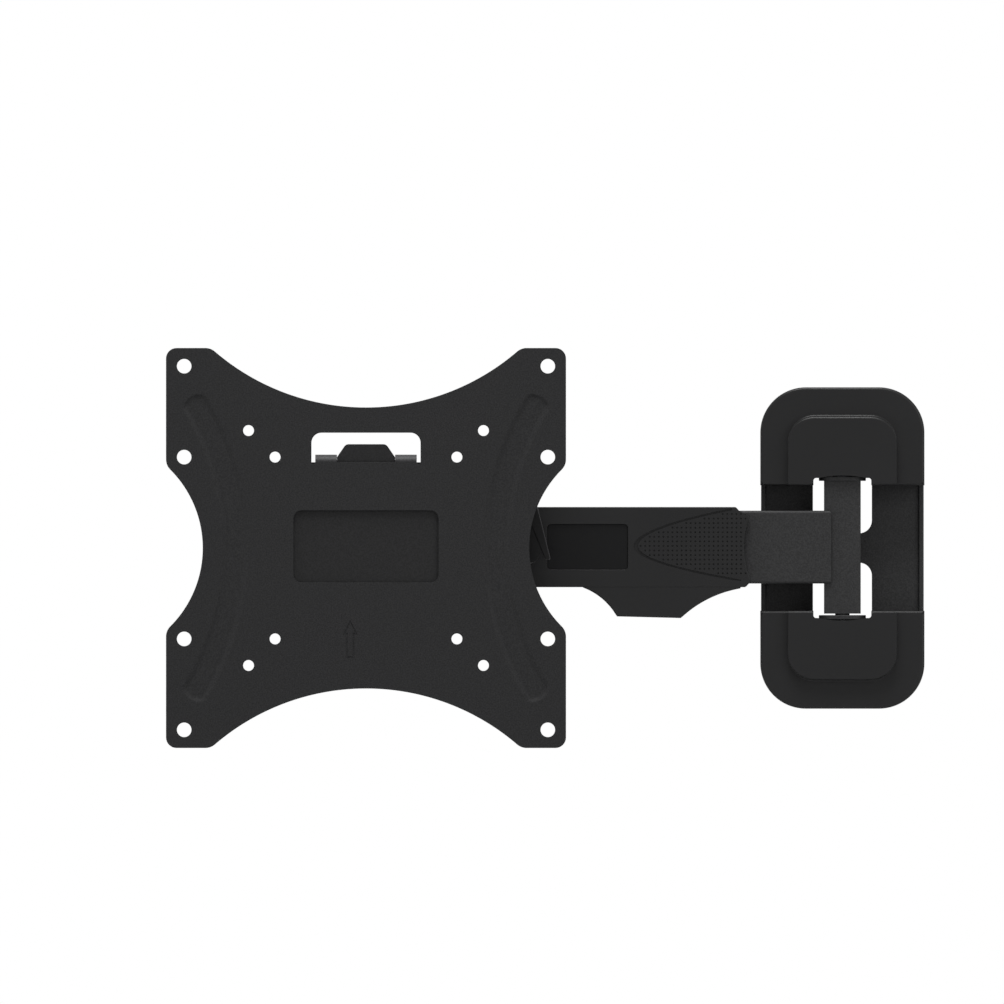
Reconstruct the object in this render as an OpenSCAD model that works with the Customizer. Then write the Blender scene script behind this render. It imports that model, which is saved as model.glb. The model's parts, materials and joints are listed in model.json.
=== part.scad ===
// Full motion wall mount for a flat television, with a folding arm, swivel, tilt and roll.
// Millimetres. Origin: centre of the wall plate's back face, on the wall. +Z is up, +X is to the
// right for someone who faces the wall, and the room lies towards -Y.
// At rest the arm is stretched out to the left along the wall, with the TV plate facing the room.

/* [Wall bracket] */
// Width of the two plastic covers
cover_w = 90.3; // [84:0.1:110]
// Height over both covers
cover_h = 176.8; // [166:0.1:220]
// Outer corner radius of the covers
cover_r = 25; // [16:0.5:32]
// Half height of the open middle between the covers
cover_gap = 34.5; // [33:0.1:36]
// How far the steel tray's rim sits inside the covers' outline
rim_inset = 0.4; // [0.2:0.1:1]
// Width of the tray's rim, seen from the front
rim_w = 2.7; // [2:0.1:4]
// Depth of the tray's rim from the wall
rim_depth = 5; // [4:0.1:5.5]
// Distance from the wall to the covers' front face
cover_depth = 27; // [24:0.5:30]
// Distance from the wall to the raised panels
panel_depth = 33; // [32.5:0.1:36]
// Width of the raised panels
panel_w = 60; // [50:0.5:64]
// Height of the raised panels' tops above the middle
panel_top = 73.5; // [66:0.5:78]
// Corner radius of the raised panels
panel_r = 15; // [8:0.5:20]
// Wall thickness of the plastic covers
cover_wall = 2; // [1.6:0.1:3]
// Spacing of the four wall screws, left to right
wall_hole_dx = 50; // [44:1:56]
// Spacing of the four wall screws, top to bottom
wall_hole_dz = 124; // [120:1:136]
// Distance of the two middle screw holes from each other
wall_mid_dz = 146; // [142:1:152]
// Diameter of the wall screw holes
wall_hole_d = 8; // [6:0.5:9]
// Width of the windows from which the tabs are bent
window_w = 32.4; // [30:0.1:34]
// Width of the cut-out in each cover, where the tab comes through
cut_w = 31.8; // [30:0.1:34]
// Half height of the steel bridge between the windows
bridge_half = 8.1; // [6:0.1:10]
// Corner radius of the windows and of the tabs
window_r = 7; // [3:0.5:9]

/* [Sheet steel] */
// Thickness of the bracket plates
plate_t = 2.5; // [2:0.1:3]
// Inside radius of the bends in the bracket plates
bend_r = 1; // [0.6:0.1:1.6]
// Width of the tabs that hold a knuckle
tab_w = 25.9; // [24:0.1:27]
// Reach of the tabs past the pivot's axis
tab_past = 11.5; // [11:0.1:11.9]

/* [Arms] */
// Wall pivot to elbow
rear_arm_l = 106.4; // [96:0.1:150]
// Elbow to head pivot
front_arm_l = 155.6; // [150:0.1:200]
// Distance from the wall to the pivots
pivot_out = 19; // [18.5:0.1:20]
// Height of the arm's middle above the plate's middle
arm_z = 0.5; // [0:0.1:1]
// Width of the square knuckles
knuckle_w = 20.2; // [18:0.1:21]
// Distance between the two tabs that hold a knuckle
knuckle_span = 73.8; // [72:0.1:78]
// Height of the rear tube
tube_h = 40.1; // [36:0.1:42]
// Wall thickness of the rear tube
tube_wall = 2; // [1.5:0.1:3]
// Length of the tube's side walls beyond the knuckle's face
tube_lap = 4; // [2:0.1:6]
// Outer corner radius of the rear tube
tube_r = 2; // [1:0.1:2.5]
// Corner radius of the side walls' ends beside the knuckle
lap_r = 1.5; // [0.5:0.1:4]
// Thickness of the front arm's channel
channel_t = 1.6; // [1.4:0.1:2]
// Depth of the front arm's channel
channel_d = 28; // [26:0.5:29]

/* [Pivots] */
// Diameter of the wall and head pivot bolts
pivot_d = 6; // [5:0.1:8]
// Outer diameter of the plastic bushes in the knuckles
bush_d = 12; // [10:0.1:13]
// Length of the plastic bushes in the knuckles
bush_l = 14; // [10:1:20]
// Thickness of the thrust washers under the knuckles
thrust_t = 0.8; // [0.5:0.1:1]
// Diameter of the elbow pin
elbow_d = 10; // [8:0.1:12]
// Outer diameter of the elbow bushes
elbow_bush_d = 14; // [13:0.1:16]
// Flange thickness of the elbow bushes
elbow_flange_t = 1.1; // [0.8:0.1:1.5]

/* [Front cover] */
// Height of the cover on the front arm
front_cover_h = 44.1; // [43.5:0.1:46]
// Thickness of the cover on the front arm
front_cover_t = 3; // [2.8:0.1:3.2]
// Head pivot to the cover's left end
front_cover_start = 14; // [12:0.5:30]
// How far the cover reaches over the rear tube, past the elbow
cover_past_elbow = 55.2; // [40:0.1:60]
// Distance from the recess's right edge to the elbow
recess_off = 11.6; // [10:0.1:20]
// Width of the recess
recess_w = 44.4; // [30:0.1:44.4]
// Height of the recess
recess_h = 25; // [18:0.5:26]
// Corner radius of the recess
recess_r = 2; // [1:0.5:4]
// Depth of the recess down to its cap
recess_depth = 1; // [0.6:0.1:1.2]
// Thickness of the recess cap
cap_t = 0.8; // [0.6:0.1:1]
// Distance from the tip of the dotted end's groove to the elbow
grip_off = 7.2; // [4:0.1:8]
// Width of the groove round the dotted end
groove_w = 1.1; // [0.8:0.1:1.5]
// Depth of that groove
groove_depth = 0.6; // [0.3:0.1:0.8]
// Drop of the shroud below the cover
shroud_drop = 17; // [16:0.1:20]
// Elbow to the shroud's left end
shroud_left = 36.6; // [30:0.1:40]
// Elbow to the shroud's right end
shroud_right = 50.4; // [44:0.1:52]
// Half width of the shroud's flat bottom
shroud_low_w = 17.5; // [16:0.1:20]
// Radius of the hollow arc on the shroud's left
shroud_left_r = 35.35; // [35.2:0.01:36]
// Radius of the hollow arc on the shroud's right
shroud_right_r = 62.95; // [62.9:0.01:63.5]
// Wall thickness of the shroud
shroud_wall = 1.6; // [1.2:0.1:2]

/* [Head] */
// Head pivot to the swivel bracket's web
web_out = 18.5; // [18:0.1:19]
// Outer width of the swivel bracket
swivel_w = 118; // [110:1:124]
// Height of the swivel bracket's middle
swivel_mid_w = 40; // [36:1:50]
// Radius of the ears' round ends
ear_r = 12; // [11:0.5:12.5]
// Swivel bracket's front face to the tilt axis
tilt_out = 14; // [13:0.1:15]
// Tilt axis to the back of the tilt bracket's web
tilt_web_out = 15.5; // [15:0.1:17]
// Diameter of the tilt bolt
tilt_d = 8; // [6:0.1:8]
// Outer diameter of the spacer tube on the tilt bolt
spacer_d = 12; // [11:0.1:12.5]
// Thickness of the friction washers at the tilt ears
friction_t = 1; // [0.8:0.1:1.5]
// Height of the tilt bracket's middle
tilt_mid_h = 76; // [74:1:78]
// Width of the tilt bracket's middle
tilt_mid_w = 48; // [40:1:60]
// Diameter of the roll stud
stud_d = 8; // [6:0.1:8]
// Distance from the roll stud to each guide
guide_r = 30; // [27:0.5:30]
// Diameter of the guides
guide_d = 6; // [5:0.1:7]
// Roll to each side
roll_deg = 5; // [3:0.5:6]
// Width of the head plate
head_w = 90; // [84:1:92]
// Bottom of the head plate below the middle
head_low = 54; // [53:0.5:58]

/* [Clamp lever] */
// Radius of the lever's domed hub
hub_r = 9.7; // [9:0.1:10]
// Outer end of the hub's straight part, from the head's middle
hub_end = 86.4; // [84:0.1:86.5]
// Length of the lever above the tilt axis
lever_l = 32; // [24:0.5:32]
// Thickness of the lever's blade, front to back
blade_t = 9; // [6:0.5:9]
// Distance of the blade's foot from the head's middle
blade_x = 98.7; // [96:0.1:99]
// Width of the blade at its foot
blade_foot_w = 2.7; // [2.4:0.1:3]
// Length of the blade below the tilt axis
blade_low = 6.5; // [6:0.1:8]
// Radius of the neck between hub and blade
neck_r = 2.4; // [2:0.1:4]
// Radius of the flutes round the hub
flute_r = 1.3; // [1:0.1:1.5]

/* [TV plate] */
// Width and height of the TV plate
tv_w = 220; // [216:0.5:230]
// Thickness of the TV plate
tv_t = 2; // [1.5:0.1:2.5]
// Corner radius of the TV plate
tv_r = 5.8; // [4:0.1:8]
// Spacing of the outer screw holes
vesa_l = 200; // [200:1:200]
// Spacing of the inner screw holes
vesa_s = 100; // [100:1:100]
// Spacing of the diagonal screw holes
vesa_d = 129.2; // [124:0.1:134]
// Diameter of the outer screw holes
big_hole_d = 8; // [6:0.1:8]
// Diameter of the inner screw holes
small_hole_d = 6; // [5:0.1:6]
// Radius of the curve cut into the top and bottom edges
bite_r = 127.6; // [120:0.1:140]
// Height of that curve's deepest point above the middle
bite_z = 77.3; // [74:0.1:82]
// Radius of the curve cut into the side edges
side_r = 60.9; // [50:0.1:70]
// Distance of that curve's deepest point from the middle
side_x = 89.8; // [86:0.1:96]
// Radius that blends those curves into the edges
blend_r = 8; // [4:0.5:12]
// Width of the hook's slot
slot_w = 60; // [58:0.5:64]
// Bottom of the hook's slot above the middle
slot_z = 47.2; // [46:0.1:50]
// Height of the hook's slot
slot_h = 16.2; // [14:0.1:18]
// Width of the hook
hook_w = 55.8; // [50:0.1:56]
// Width of the notch in the hook
notch_w = 36.2; // [34:0.1:38]
// Inside radius of the hook's first bend
hook_r = 1.8; // [1.6:0.1:2]
// Length of the hook's lip behind the head plate
lip_l = 6.2; // [4:0.1:6.5]
// Width of the window
view_w = 79.8; // [60:0.1:84]
// Bottom and top of the window
view_z = [-19, 20.65];
// Corner radius of the window
view_r = 4.5; // [2:0.1:8]
// Radius of the stiffening bead's path
bead_path_r = 152.7; // [150:0.1:156]
// Distance of the bead from the middle at its nearest point
bead_x = 71.7; // [71:0.1:74]
// Half height of the bead
bead_half = 77.5; // [60:0.5:80]
// Width of the bead
bead_w = 11.6; // [8:0.1:12]
// Depth of the bead
bead_depth = 0.9; // [0.5:0.1:1.2]

/* [Hidden] */
$fn = 64;

steel_dark = "#2e2e2f";
plastic_dark = "#2a2a2b";
cap_dark = "#1a1a1b";
zinc = "#8d8f92";
nylon = "#1d1d1e";

run_gap = 0.05;      // radial clearance of a pin that turns in its hole
seat_gap = 0.3;      // distance kept between pieces that slide past each other
slip_gap = 0.1;      // distance between flat faces that turn against each other
press_gap = 0.02;    // radial clearance of a nut or insert on its thread
weld_eps = 0.01;     // lets two shapes of one solid share a little volume
far = 400;           // longer than anything that is cut

// Pivots
arm_y = -pivot_out;
elbow_x = -rear_arm_l;
head_x = elbow_x - front_arm_l;
tab_in = knuckle_span / 2;
tab_out = tab_in + plate_t;
knuckle_low = -tab_in + thrust_t;
knuckle_top = tab_in - slip_gap;
washer_t = 1;
nut_h = 6;
bolt_head_h = 4;
hex_af = 10;
pivot_washer_d = 12;

// Arms
tube_d = knuckle_w + 2 * tube_wall;
tube_z = [arm_z - tube_h / 2, arm_z + tube_h / 2];
channel_in_front = arm_y - tube_d / 2 - seat_gap;
channel_front = channel_in_front - channel_t;
channel_back = channel_front + channel_d;
channel_z = [tube_z[0] - seat_gap - channel_t, tube_z[1] + seat_gap + channel_t];
channel_end_r = channel_d / 2;
knuckle_edge = knuckle_w / 2 - tube_lap;

// Front cover
cover_back = channel_front - weld_eps;
cover_front = cover_back - front_cover_t;
cover_z = [arm_z - front_cover_h / 2, arm_z + front_cover_h / 2];
cover_end_x = elbow_x + cover_past_elbow;
cover_start_x = head_x + front_cover_start;
recess_mid_z = 0.6;
recess_x = front_arm_l - recess_off - recess_w;
cap_front = cover_front + recess_depth;
cap_back = cap_front + cap_t;
lip_wall_z = [tube_z[0] - seat_gap, tube_z[1] + seat_gap];
hood_x = elbow_x + channel_end_r + seat_gap;
hood_back = arm_y + tube_d / 2;

// Head, front to back distances measured from the head pivot
web_back_y = arm_y - web_out;
web_front_y = web_back_y - plate_t;
tilt_y = web_front_y - tilt_out;
tilt_back_y = tilt_y - tilt_web_out;
tilt_front_y = tilt_back_y - plate_t;
roll_washer_t = 1.5;
head_back_y = tilt_front_y - roll_washer_t;
head_front_y = head_back_y - plate_t;
tv_back_y = head_front_y - seat_gap;
tv_front_y = tv_back_y - tv_t;
bend_out = bend_r + plate_t;
tilt_ear_in = swivel_w / 2 + friction_t;
tilt_ear_out = tilt_ear_in + plate_t;

// ---------- drawing helpers ----------

// Draws a shape seen from the front, from depth y towards the room.
module front_slab(y, t) {
  translate([0, y, 0]) rotate([90, 0, 0]) linear_extrude(t) children();
}

// Draws a shape seen from the side (Y to the right, Z up), from x towards +X.
module side_slab(x, l) {
  translate([x, 0, 0]) rotate([90, 0, 90]) linear_extrude(l) children();
}

// Draws a shape seen from the top, from z upwards.
module top_slab(z, h) {
  translate([0, 0, z]) linear_extrude(h) children();
}

// A rectangle round the origin with round corners.
module round_rect(w, h, r) {
  square([w - 2 * r, h], center = true);
  square([w, h - 2 * r], center = true);
  for (x = [-1, 1], y = [-1, 1])
    translate([x * (w / 2 - r), y * (h / 2 - r)]) circle(r);
}

// A rectangle that stands on the X axis. Its low corners have radius r0, its high corners r1.
module gate(w, h, r0, r1) {
  translate([-w / 2, r0]) square([w, h - r0 - r1]);
  translate([r1 - w / 2, r0]) square([w - 2 * r1, h - r0]);
  if (r0 > 0) translate([r0 - w / 2, 0]) square([w - 2 * r0, h - r1]);
  for (s = [-1, 1]) {
    if (r0 > 0) translate([s * (w / 2 - r0), r0]) circle(r0);
    translate([s * (w / 2 - r1), h - r1]) circle(r1);
  }
}

// A quarter of a ring, in the quadrant that sx and sy point to.
module quarter_ring(r_in, r_out, sx, sy) {
  intersection() {
    difference() {
      circle(r_out);
      circle(r_in);
    }
    translate([sx > 0 ? 0 : -r_out, sy > 0 ? 0 : -r_out]) square(r_out);
  }
}

module rod_z(x, y, z0, z1, r) {
  translate([x, y, z0]) cylinder(h = z1 - z0, r = r);
}

module rod_y(x, z, y0, y1, r) {
  translate([x, y0, z]) rotate([90, 0, 0]) cylinder(h = y0 - y1, r = r);
}

module rod_x(y, z, x0, x1, r) {
  translate([x0, y, z]) rotate([0, 90, 0]) cylinder(h = x1 - x0, r = r);
}

module hex_z(x, y, z0, z1, af) {
  translate([x, y, z0]) rotate(30) cylinder(h = z1 - z0, r = af / sqrt(3), $fn = 6);
}

// ---------- parts used at more than one pivot ----------

// The square bar that turns between two tabs.
module knuckle(x) {
  difference() {
    translate([x, arm_y, knuckle_low])
      linear_extrude(knuckle_top - knuckle_low) round_rect(knuckle_w, knuckle_w, 1.2);
    rod_z(x, arm_y, knuckle_low - 1, knuckle_top + 1, bush_d / 2);
  }
}

module knuckle_bushes(x) {
  for (z = [knuckle_low, knuckle_top - bush_l])
    difference() {
      rod_z(x, arm_y, z, z + bush_l, bush_d / 2);
      rod_z(x, arm_y, z - 1, z + bush_l + 1, pivot_d / 2 + run_gap);
    }
}

// The washer that carries a knuckle on the lower tab.
module thrust_washer(x) {
  difference() {
    rod_z(x, arm_y, -tab_in, knuckle_low, bush_d / 2 - 2);
    rod_z(x, arm_y, -tab_in - 1, knuckle_low + 1, pivot_d / 2 + run_gap);
  }
}

// Hexagon bolt, with its head under the lower tab and its end above the upper one.
module pivot_bolt(x) {
  head_z = -tab_out - washer_t;
  rod_z(x, arm_y, head_z - weld_eps, tab_out + washer_t + nut_h + 1.5, pivot_d / 2);
  hex_z(x, arm_y, head_z - bolt_head_h, head_z, hex_af);
}

module pivot_nut(x) {
  z = tab_out + washer_t;
  difference() {
    hex_z(x, arm_y, z, z + nut_h, hex_af);
    rod_z(x, arm_y, z - 1, z + nut_h + 1, pivot_d / 2 + press_gap);
  }
}

module pivot_washers(x) {
  for (z = [-tab_out - washer_t, tab_out])
    difference() {
      rod_z(x, arm_y, z, z + washer_t, pivot_washer_d / 2);
      rod_z(x, arm_y, z - 1, z + washer_t + 1, pivot_d / 2 + 2 * run_gap);
    }
}

// One tab of the wall plate, bent out of its window. s is 1 for the upper and -1 for the lower tab.
module wall_tab(s) {
  bend_z = tab_out + bend_r;
  mirror([0, 0, s > 0 ? 0 : 1])
    intersection() {
      side_slab(-tab_w / 2, tab_w) union() {
        translate([-bend_out, bend_z]) quarter_ring(bend_r, bend_out, 1, -1);
        translate([-plate_t, bend_z]) square([plate_t, 2]);
        translate([arm_y - tab_past, tab_in])
          square([-bend_out - (arm_y - tab_past), plate_t]);
      }
      top_slab(0, far) tab_outline();
    }
}

// A tab seen from the top, with its two round end corners.
module tab_outline() {
  l = tab_past - arm_y + 1;
  mirror([0, 1]) translate([0, -1]) gate(tab_w, l, 0, window_r);
}

// ---------- wall bracket ----------

module tray_outline(inset) {
  w = cover_w - 2 * rim_inset - 2 * inset;
  h = cover_h - 2 * rim_inset - 2 * inset;
  round_rect(w, h, cover_r - rim_inset - inset);
}

module wall_holes() {
  for (x = [-1, 1], z = [-1, 1])
    translate([x * wall_hole_dx / 2, z * wall_hole_dz / 2]) circle(d = wall_hole_d);
  for (z = [-1, 1]) translate([0, z * wall_mid_dz / 2]) circle(d = wall_hole_d);
}

module wall_plate() color(steel_dark) {
  relief_z = tab_out + bend_r;
  difference() {
    union() {
      front_slab(0, plate_t) tray_outline(0);
      front_slab(0, rim_depth) difference() {
        tray_outline(0);
        tray_outline(rim_w);
      }
    }
    front_slab(1, plate_t + 2) {
      wall_holes();
      for (s = [0, 1])
        mirror([0, s])
          translate([0, bridge_half])
            gate(window_w, relief_z + 1 - bridge_half, window_r, 1.5);
    }
  }
  for (s = [-1, 1])
    difference() {
      union() {
        wall_tab(s);
        // joins the tab to the web above the window
        translate([-tab_w / 2, -plate_t, s > 0 ? relief_z : -relief_z - 2])
          cube([tab_w, plate_t, 2]);
      }
      rod_z(0, arm_y, -far / 2, far / 2, pivot_d / 2 + 2 * run_gap);
    }
}

// Outline of one cover, seen from the front, shrunk by inset.
module cover_outline(inset) {
  intersection() {
    round_rect(cover_w - 2 * inset, cover_h - 2 * inset, cover_r - inset);
    translate([-far / 2, cover_gap + inset]) square([far, far]);
  }
}

// Outline of one cover's raised panel, seen from the front, shrunk by inset.
module panel_outline(inset) {
  w = panel_w - 2 * inset;
  h = panel_top - cover_gap - inset;
  translate([0, cover_gap]) gate(w, h, 0, panel_r - inset);
}

// A cap that sits on the tray's rim, with a raised panel over the pivot and a cut-out for the tab.
module wall_cover() {
  cut_top = tab_out - 0.9;
  arch_rise = 1.4;
  arch_r = (pow(tab_w / 2, 2) + pow(arch_rise, 2)) / (2 * arch_rise);
  difference() {
    union() {
      front_slab(-rim_depth, cover_depth - rim_depth) cover_outline(0);
      front_slab(-rim_depth, panel_depth - rim_depth) panel_outline(0);
    }
    front_slab(-rim_depth + 1, cover_depth - rim_depth + 1 - cover_wall)
      cover_outline(cover_wall);
    front_slab(-rim_depth + 1, panel_depth - rim_depth + 1 - cover_wall)
      intersection() {
        panel_outline(cover_wall);
        translate([-far / 2, cover_gap + cover_wall]) square([far, far]);
      }
    // lets the tab and the knuckle through
    front_slab(1, far) {
      translate([0, cover_gap - 1]) gate(cut_w, cut_top - cover_gap + 1, 0, 1.5);
      // a low arch that clears the tab's edge
      intersection() {
        translate([0, cut_top + arch_rise - arch_r]) circle(arch_r, $fn = 180);
        translate([1.4 - cut_w / 2, cut_top - 0.4]) square([cut_w - 2.8, 5]);
      }
    }
  }
  for (s = [0, 1], z = [cover_gap + 10, cover_gap + 24]) mirror([s, 0, 0]) translate([0, 0, z])
    cover_clip();
}

// A clip that grips the inside of the tray's rim, with a foot on the cover's side wall.
module cover_clip() {
  clip_w = 8;
  clip_t = 1.6;
  rim_x = cover_w / 2 - rim_inset - rim_w - run_gap;
  wall_x = cover_w / 2 - cover_wall / 2;
  foot_y = -rim_depth - seat_gap - cover_wall;
  translate([rim_x - clip_t, foot_y, 0]) cube([wall_x - rim_x + clip_t, cover_wall, clip_w]);
  translate([rim_x - clip_t, foot_y, 0])
    cube([clip_t, -plate_t - seat_gap - foot_y, clip_w]);
}

module upper_cover() color(plastic_dark) wall_cover();
module lower_cover() color(plastic_dark) mirror([0, 0, 1]) wall_cover();
module wall_pivot_bolt() color(zinc) pivot_bolt(0);
module wall_pivot_nut() color(zinc) pivot_nut(0);
module wall_pivot_washers() color(zinc) pivot_washers(0);

// ---------- rear arm ----------

module rear_knuckle() color(steel_dark) knuckle(0);
module rear_bushes() color(nylon) knuckle_bushes(0);
module rear_thrust_washer() color(nylon) thrust_washer(0);

// The tube's outline seen from the front: its two right corners are rounded.
module tube_side() {
  l = -knuckle_edge - elbow_x;
  translate([elbow_x, tube_z[0]]) {
    square([l - lap_r, tube_h]);
    translate([0, lap_r]) square([l, tube_h - 2 * lap_r]);
    for (z = [lap_r, tube_h - lap_r]) translate([l - lap_r, z]) circle(lap_r);
  }
}

module rear_tube() color(steel_dark) {
  end_x = -knuckle_edge;
  difference() {
    intersection() {
      front_slab(0, far) tube_side();
      side_slab(elbow_x, end_x - elbow_x)
        translate([arm_y, arm_z]) difference() {
          round_rect(tube_d, tube_h, tube_r);
          square([knuckle_w, tube_h - 2 * tube_wall], center = true);
        }
    }
    // the side walls lap over the knuckle, the top and bottom walls stop at its face
    translate([-knuckle_w / 2, arm_y - knuckle_w / 2, -far / 2]) cube([knuckle_w, knuckle_w, far]);
    rod_z(elbow_x, arm_y, -far / 2, far / 2, tube_d / 2);
  }
}

barrel_z = [tube_z[0] + elbow_flange_t, tube_z[1] - elbow_flange_t];

module elbow_barrel() color(steel_dark)
  difference() {
    rod_z(elbow_x, arm_y, barrel_z[0], barrel_z[1], tube_d / 2);
    rod_z(elbow_x, arm_y, barrel_z[0] - 1, barrel_z[1] + 1, elbow_bush_d / 2);
  }

module elbow_bushes() color(nylon)
  for (s = [0, 1])
    translate([0, 0, arm_z]) mirror([0, 0, s]) translate([0, 0, -arm_z])
      difference() {
        union() {
          rod_z(elbow_x, arm_y, barrel_z[1] - bush_l, barrel_z[1], elbow_bush_d / 2);
          rod_z(elbow_x, arm_y, barrel_z[1], tube_z[1], tube_d / 2 - 2);
        }
        rod_z(elbow_x, arm_y, -far / 2, far / 2, elbow_d / 2 + run_gap);
      }

// ---------- front arm ----------

// Cross-section of the channel: a folded sheet that is open at the back.
module channel_section() {
  h = channel_z[1] - channel_z[0];
  r_out = channel_t + bend_r;
  translate([channel_front, channel_z[0]])
    difference() {
      union() {
        translate([r_out, 0]) square([channel_d - r_out, h]);
        translate([0, r_out]) square([channel_d, h - 2 * r_out]);
        for (z = [r_out, h - r_out]) translate([r_out, z]) circle(r_out);
      }
      translate([channel_t + bend_r, channel_t]) square([channel_d, h - 2 * channel_t]);
      translate([channel_t, channel_t + bend_r])
        square([channel_d, h - 2 * channel_t - 2 * bend_r]);
      for (z = [channel_t + bend_r, h - channel_t - bend_r])
        translate([channel_t + bend_r, z]) circle(bend_r);
    }
}

screw_x = [recess_x + 8, recess_x + recess_w - 8];
screw_d = 4;

module front_channel() color(steel_dark)
  difference() {
    intersection() {
      side_slab(head_x + knuckle_edge, far) channel_section();
      top_slab(-far / 2, far) union() {
        translate([head_x, channel_front]) square([elbow_x - head_x, channel_d]);
        translate([elbow_x, channel_front + channel_end_r]) circle(channel_end_r);
      }
    }
    translate([head_x - knuckle_w / 2, arm_y - knuckle_w / 2, -far / 2])
      cube([knuckle_w, knuckle_w, far]);
    rod_z(elbow_x, arm_y, 0, far, elbow_d / 2);
    rod_z(elbow_x, arm_y, -far, 0, elbow_d / 2 + run_gap);
    for (x = screw_x)
      rod_y(head_x + x, recess_mid_z, channel_front + far / 8, channel_front - 1,
        screw_d / 2 + press_gap);
  }

grip_up = 2.62;
grip_down = 2.34;
grip_power = 0.515;
grip_z = 1.06;
grip_l = cover_past_elbow + grip_off + 10;

// One side of the dotted end's outline, moved outwards by d. Its half height grows with about the
// square root of the distance from the tip.
function grip_side(spread, side, d) = [
  for (i = [0 : 24])
    let (dx = grip_l * pow(max(i, 0.02) / 24, 2), slope = spread * grip_power * pow(dx, grip_power - 1),
         n = sqrt(1 + slope * slope))
      [elbow_x - grip_off + dx - d * slope / n, grip_z + side * (spread * pow(dx, grip_power) + d / n)]
];

// The area inside the dotted end's outline, grown by d.
module grip_area(d) {
  up = grip_side(grip_up, 1, d);
  down = grip_side(grip_down, -1, d);
  polygon(concat(up, [for (i = [24 : -1 : 1]) down[i]]));
}

// Outline of the front cover, seen from the front. Its right end is hollowed by a wide arc.
module cover_shape() {
  end_r = 47;
  end_sag = 2.8;
  top_slope = [[-8.1, 0], [-7.5, 0.1], [-7, 0.45], [-6.4, 1.1], [-5.6, 2], [-0.9, 4.1], [-0.1, 4.9]];
  low_slope = [[0.5, 6], [0.4, 3.3], [-0.2, 2], [-1, 1.1], [-1.5, 0.55], [-2.4, 0]];
  difference() {
    polygon(concat(
      [[cover_start_x, cover_z[1]]],
      [for (p = top_slope) [cover_end_x + p[0], cover_z[1] - p[1]]],
      [for (p = low_slope) [cover_end_x + p[0], cover_z[0] + p[1]]],
      [[cover_start_x, cover_z[0]]]
    ));
    translate([cover_end_x - end_sag + end_r, recess_mid_z]) circle(end_r, $fn = 180);
  }
}

module recess_shape(gap) {
  translate([head_x + recess_x + recess_w / 2, recess_mid_z])
    round_rect(recess_w - 2 * gap, recess_h - 2 * gap, recess_r - gap);
}

module front_cover() color(plastic_dark)
  difference() {
    union() {
      front_slab(cover_back, front_cover_t) cover_shape();
      // top and bottom of the hood over the rear tube
      front_slab(hood_back, hood_back - cover_back + weld_eps) intersection() {
        difference() {
          cover_shape();
          translate([cover_start_x - 1, lip_wall_z[0]])
            square([far, lip_wall_z[1] - lip_wall_z[0]]);
        }
        translate([hood_x, -far / 2]) square([far, far]);
      }
    }
    front_slab(cap_back, far) recess_shape(0);
    front_slab(cover_front + groove_depth, far) difference() {
      grip_area(groove_w / 2);
      grip_area(-groove_w / 2);
    }
    for (x = screw_x) {
      rod_y(head_x + x, recess_mid_z, cover_back + 1, cover_front - 1, screw_d / 2 + run_gap);
      screw_sink(head_x + x, run_gap);
    }
  }

// The countersink of a cover screw, with its wide end at the back of the recess cap.
module screw_sink(x, gap) {
  sink = 1;
  translate([x, cap_back + sink, recess_mid_z])
    rotate([90, 0, 0])
      cylinder(h = sink, r1 = screw_d / 2 + gap, r2 = screw_d / 2 + sink + gap);
}

module recess_cap() color(cap_dark) front_slab(cap_back, cap_t) recess_shape(0.1);

module cover_screws() color(zinc)
  for (x = screw_x) {
    screw_sink(head_x + x, 0);
    rod_y(head_x + x, recess_mid_z, channel_front + channel_t + 2, cap_back + 0.5, screw_d / 2);
  }

// The bulge under the elbow, seen from the front and shrunk by inset. Both of its lower flanks are
// hollow arcs.
module shroud_shape(inset) {
  left = elbow_x - shroud_left;
  right = elbow_x + shroud_right;
  low_left = elbow_x - shroud_low_w;
  low_right = elbow_x + shroud_low_w;
  top = cover_z[0] - weld_eps * 2;
  low = cover_z[0] - shroud_drop;
  // the arcs' centres, from the ends of the flat bottom
  left_c = [-31, -16.4] * shroud_left_r / 35.35;
  right_c = [43.3, -45.8] * shroud_right_r / 62.95;
  difference() {
    polygon([
      [left + inset, top - inset], [right - inset, top - inset], [right - inset, top - inset - 0.6],
      [low_right, low + inset], [low_left, low + 0.9 + inset]
    ]);
    translate([low_left, low] + left_c) circle(shroud_left_r + inset, $fn = 120);
    translate([low_right, low] + right_c) circle(shroud_right_r + inset, $fn = 180);
  }
}

module elbow_shroud() color(plastic_dark) {
  shroud_front = cover_front + 0.2;
  shroud_back = channel_back - 1;
  nut_room_r = 12;
  difference() {
    front_slab(shroud_back, shroud_back - shroud_front) shroud_shape(0);
    front_slab(shroud_back - shroud_wall, shroud_back - shroud_front - 2 * shroud_wall)
      shroud_shape(shroud_wall);
    rod_z(elbow_x, arm_y, cover_z[0] - 5, cover_z[0] + 1, nut_room_r);
  }
}

elbow_washer_t = 2;
elbow_nut_h = 8;
elbow_nut_af = 17;
elbow_washer_d = 21;

module elbow_pin() color(zinc)
  rod_z(elbow_x, arm_y, channel_z[0] - elbow_washer_t - elbow_nut_h - 1.5, channel_z[1],
    elbow_d / 2);

module elbow_washer() color(zinc)
  difference() {
    z = channel_z[0] - elbow_washer_t;
    rod_z(elbow_x, arm_y, z, channel_z[0], elbow_washer_d / 2);
    rod_z(elbow_x, arm_y, z - 1, channel_z[0] + 1, elbow_d / 2 + run_gap);
  }

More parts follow.
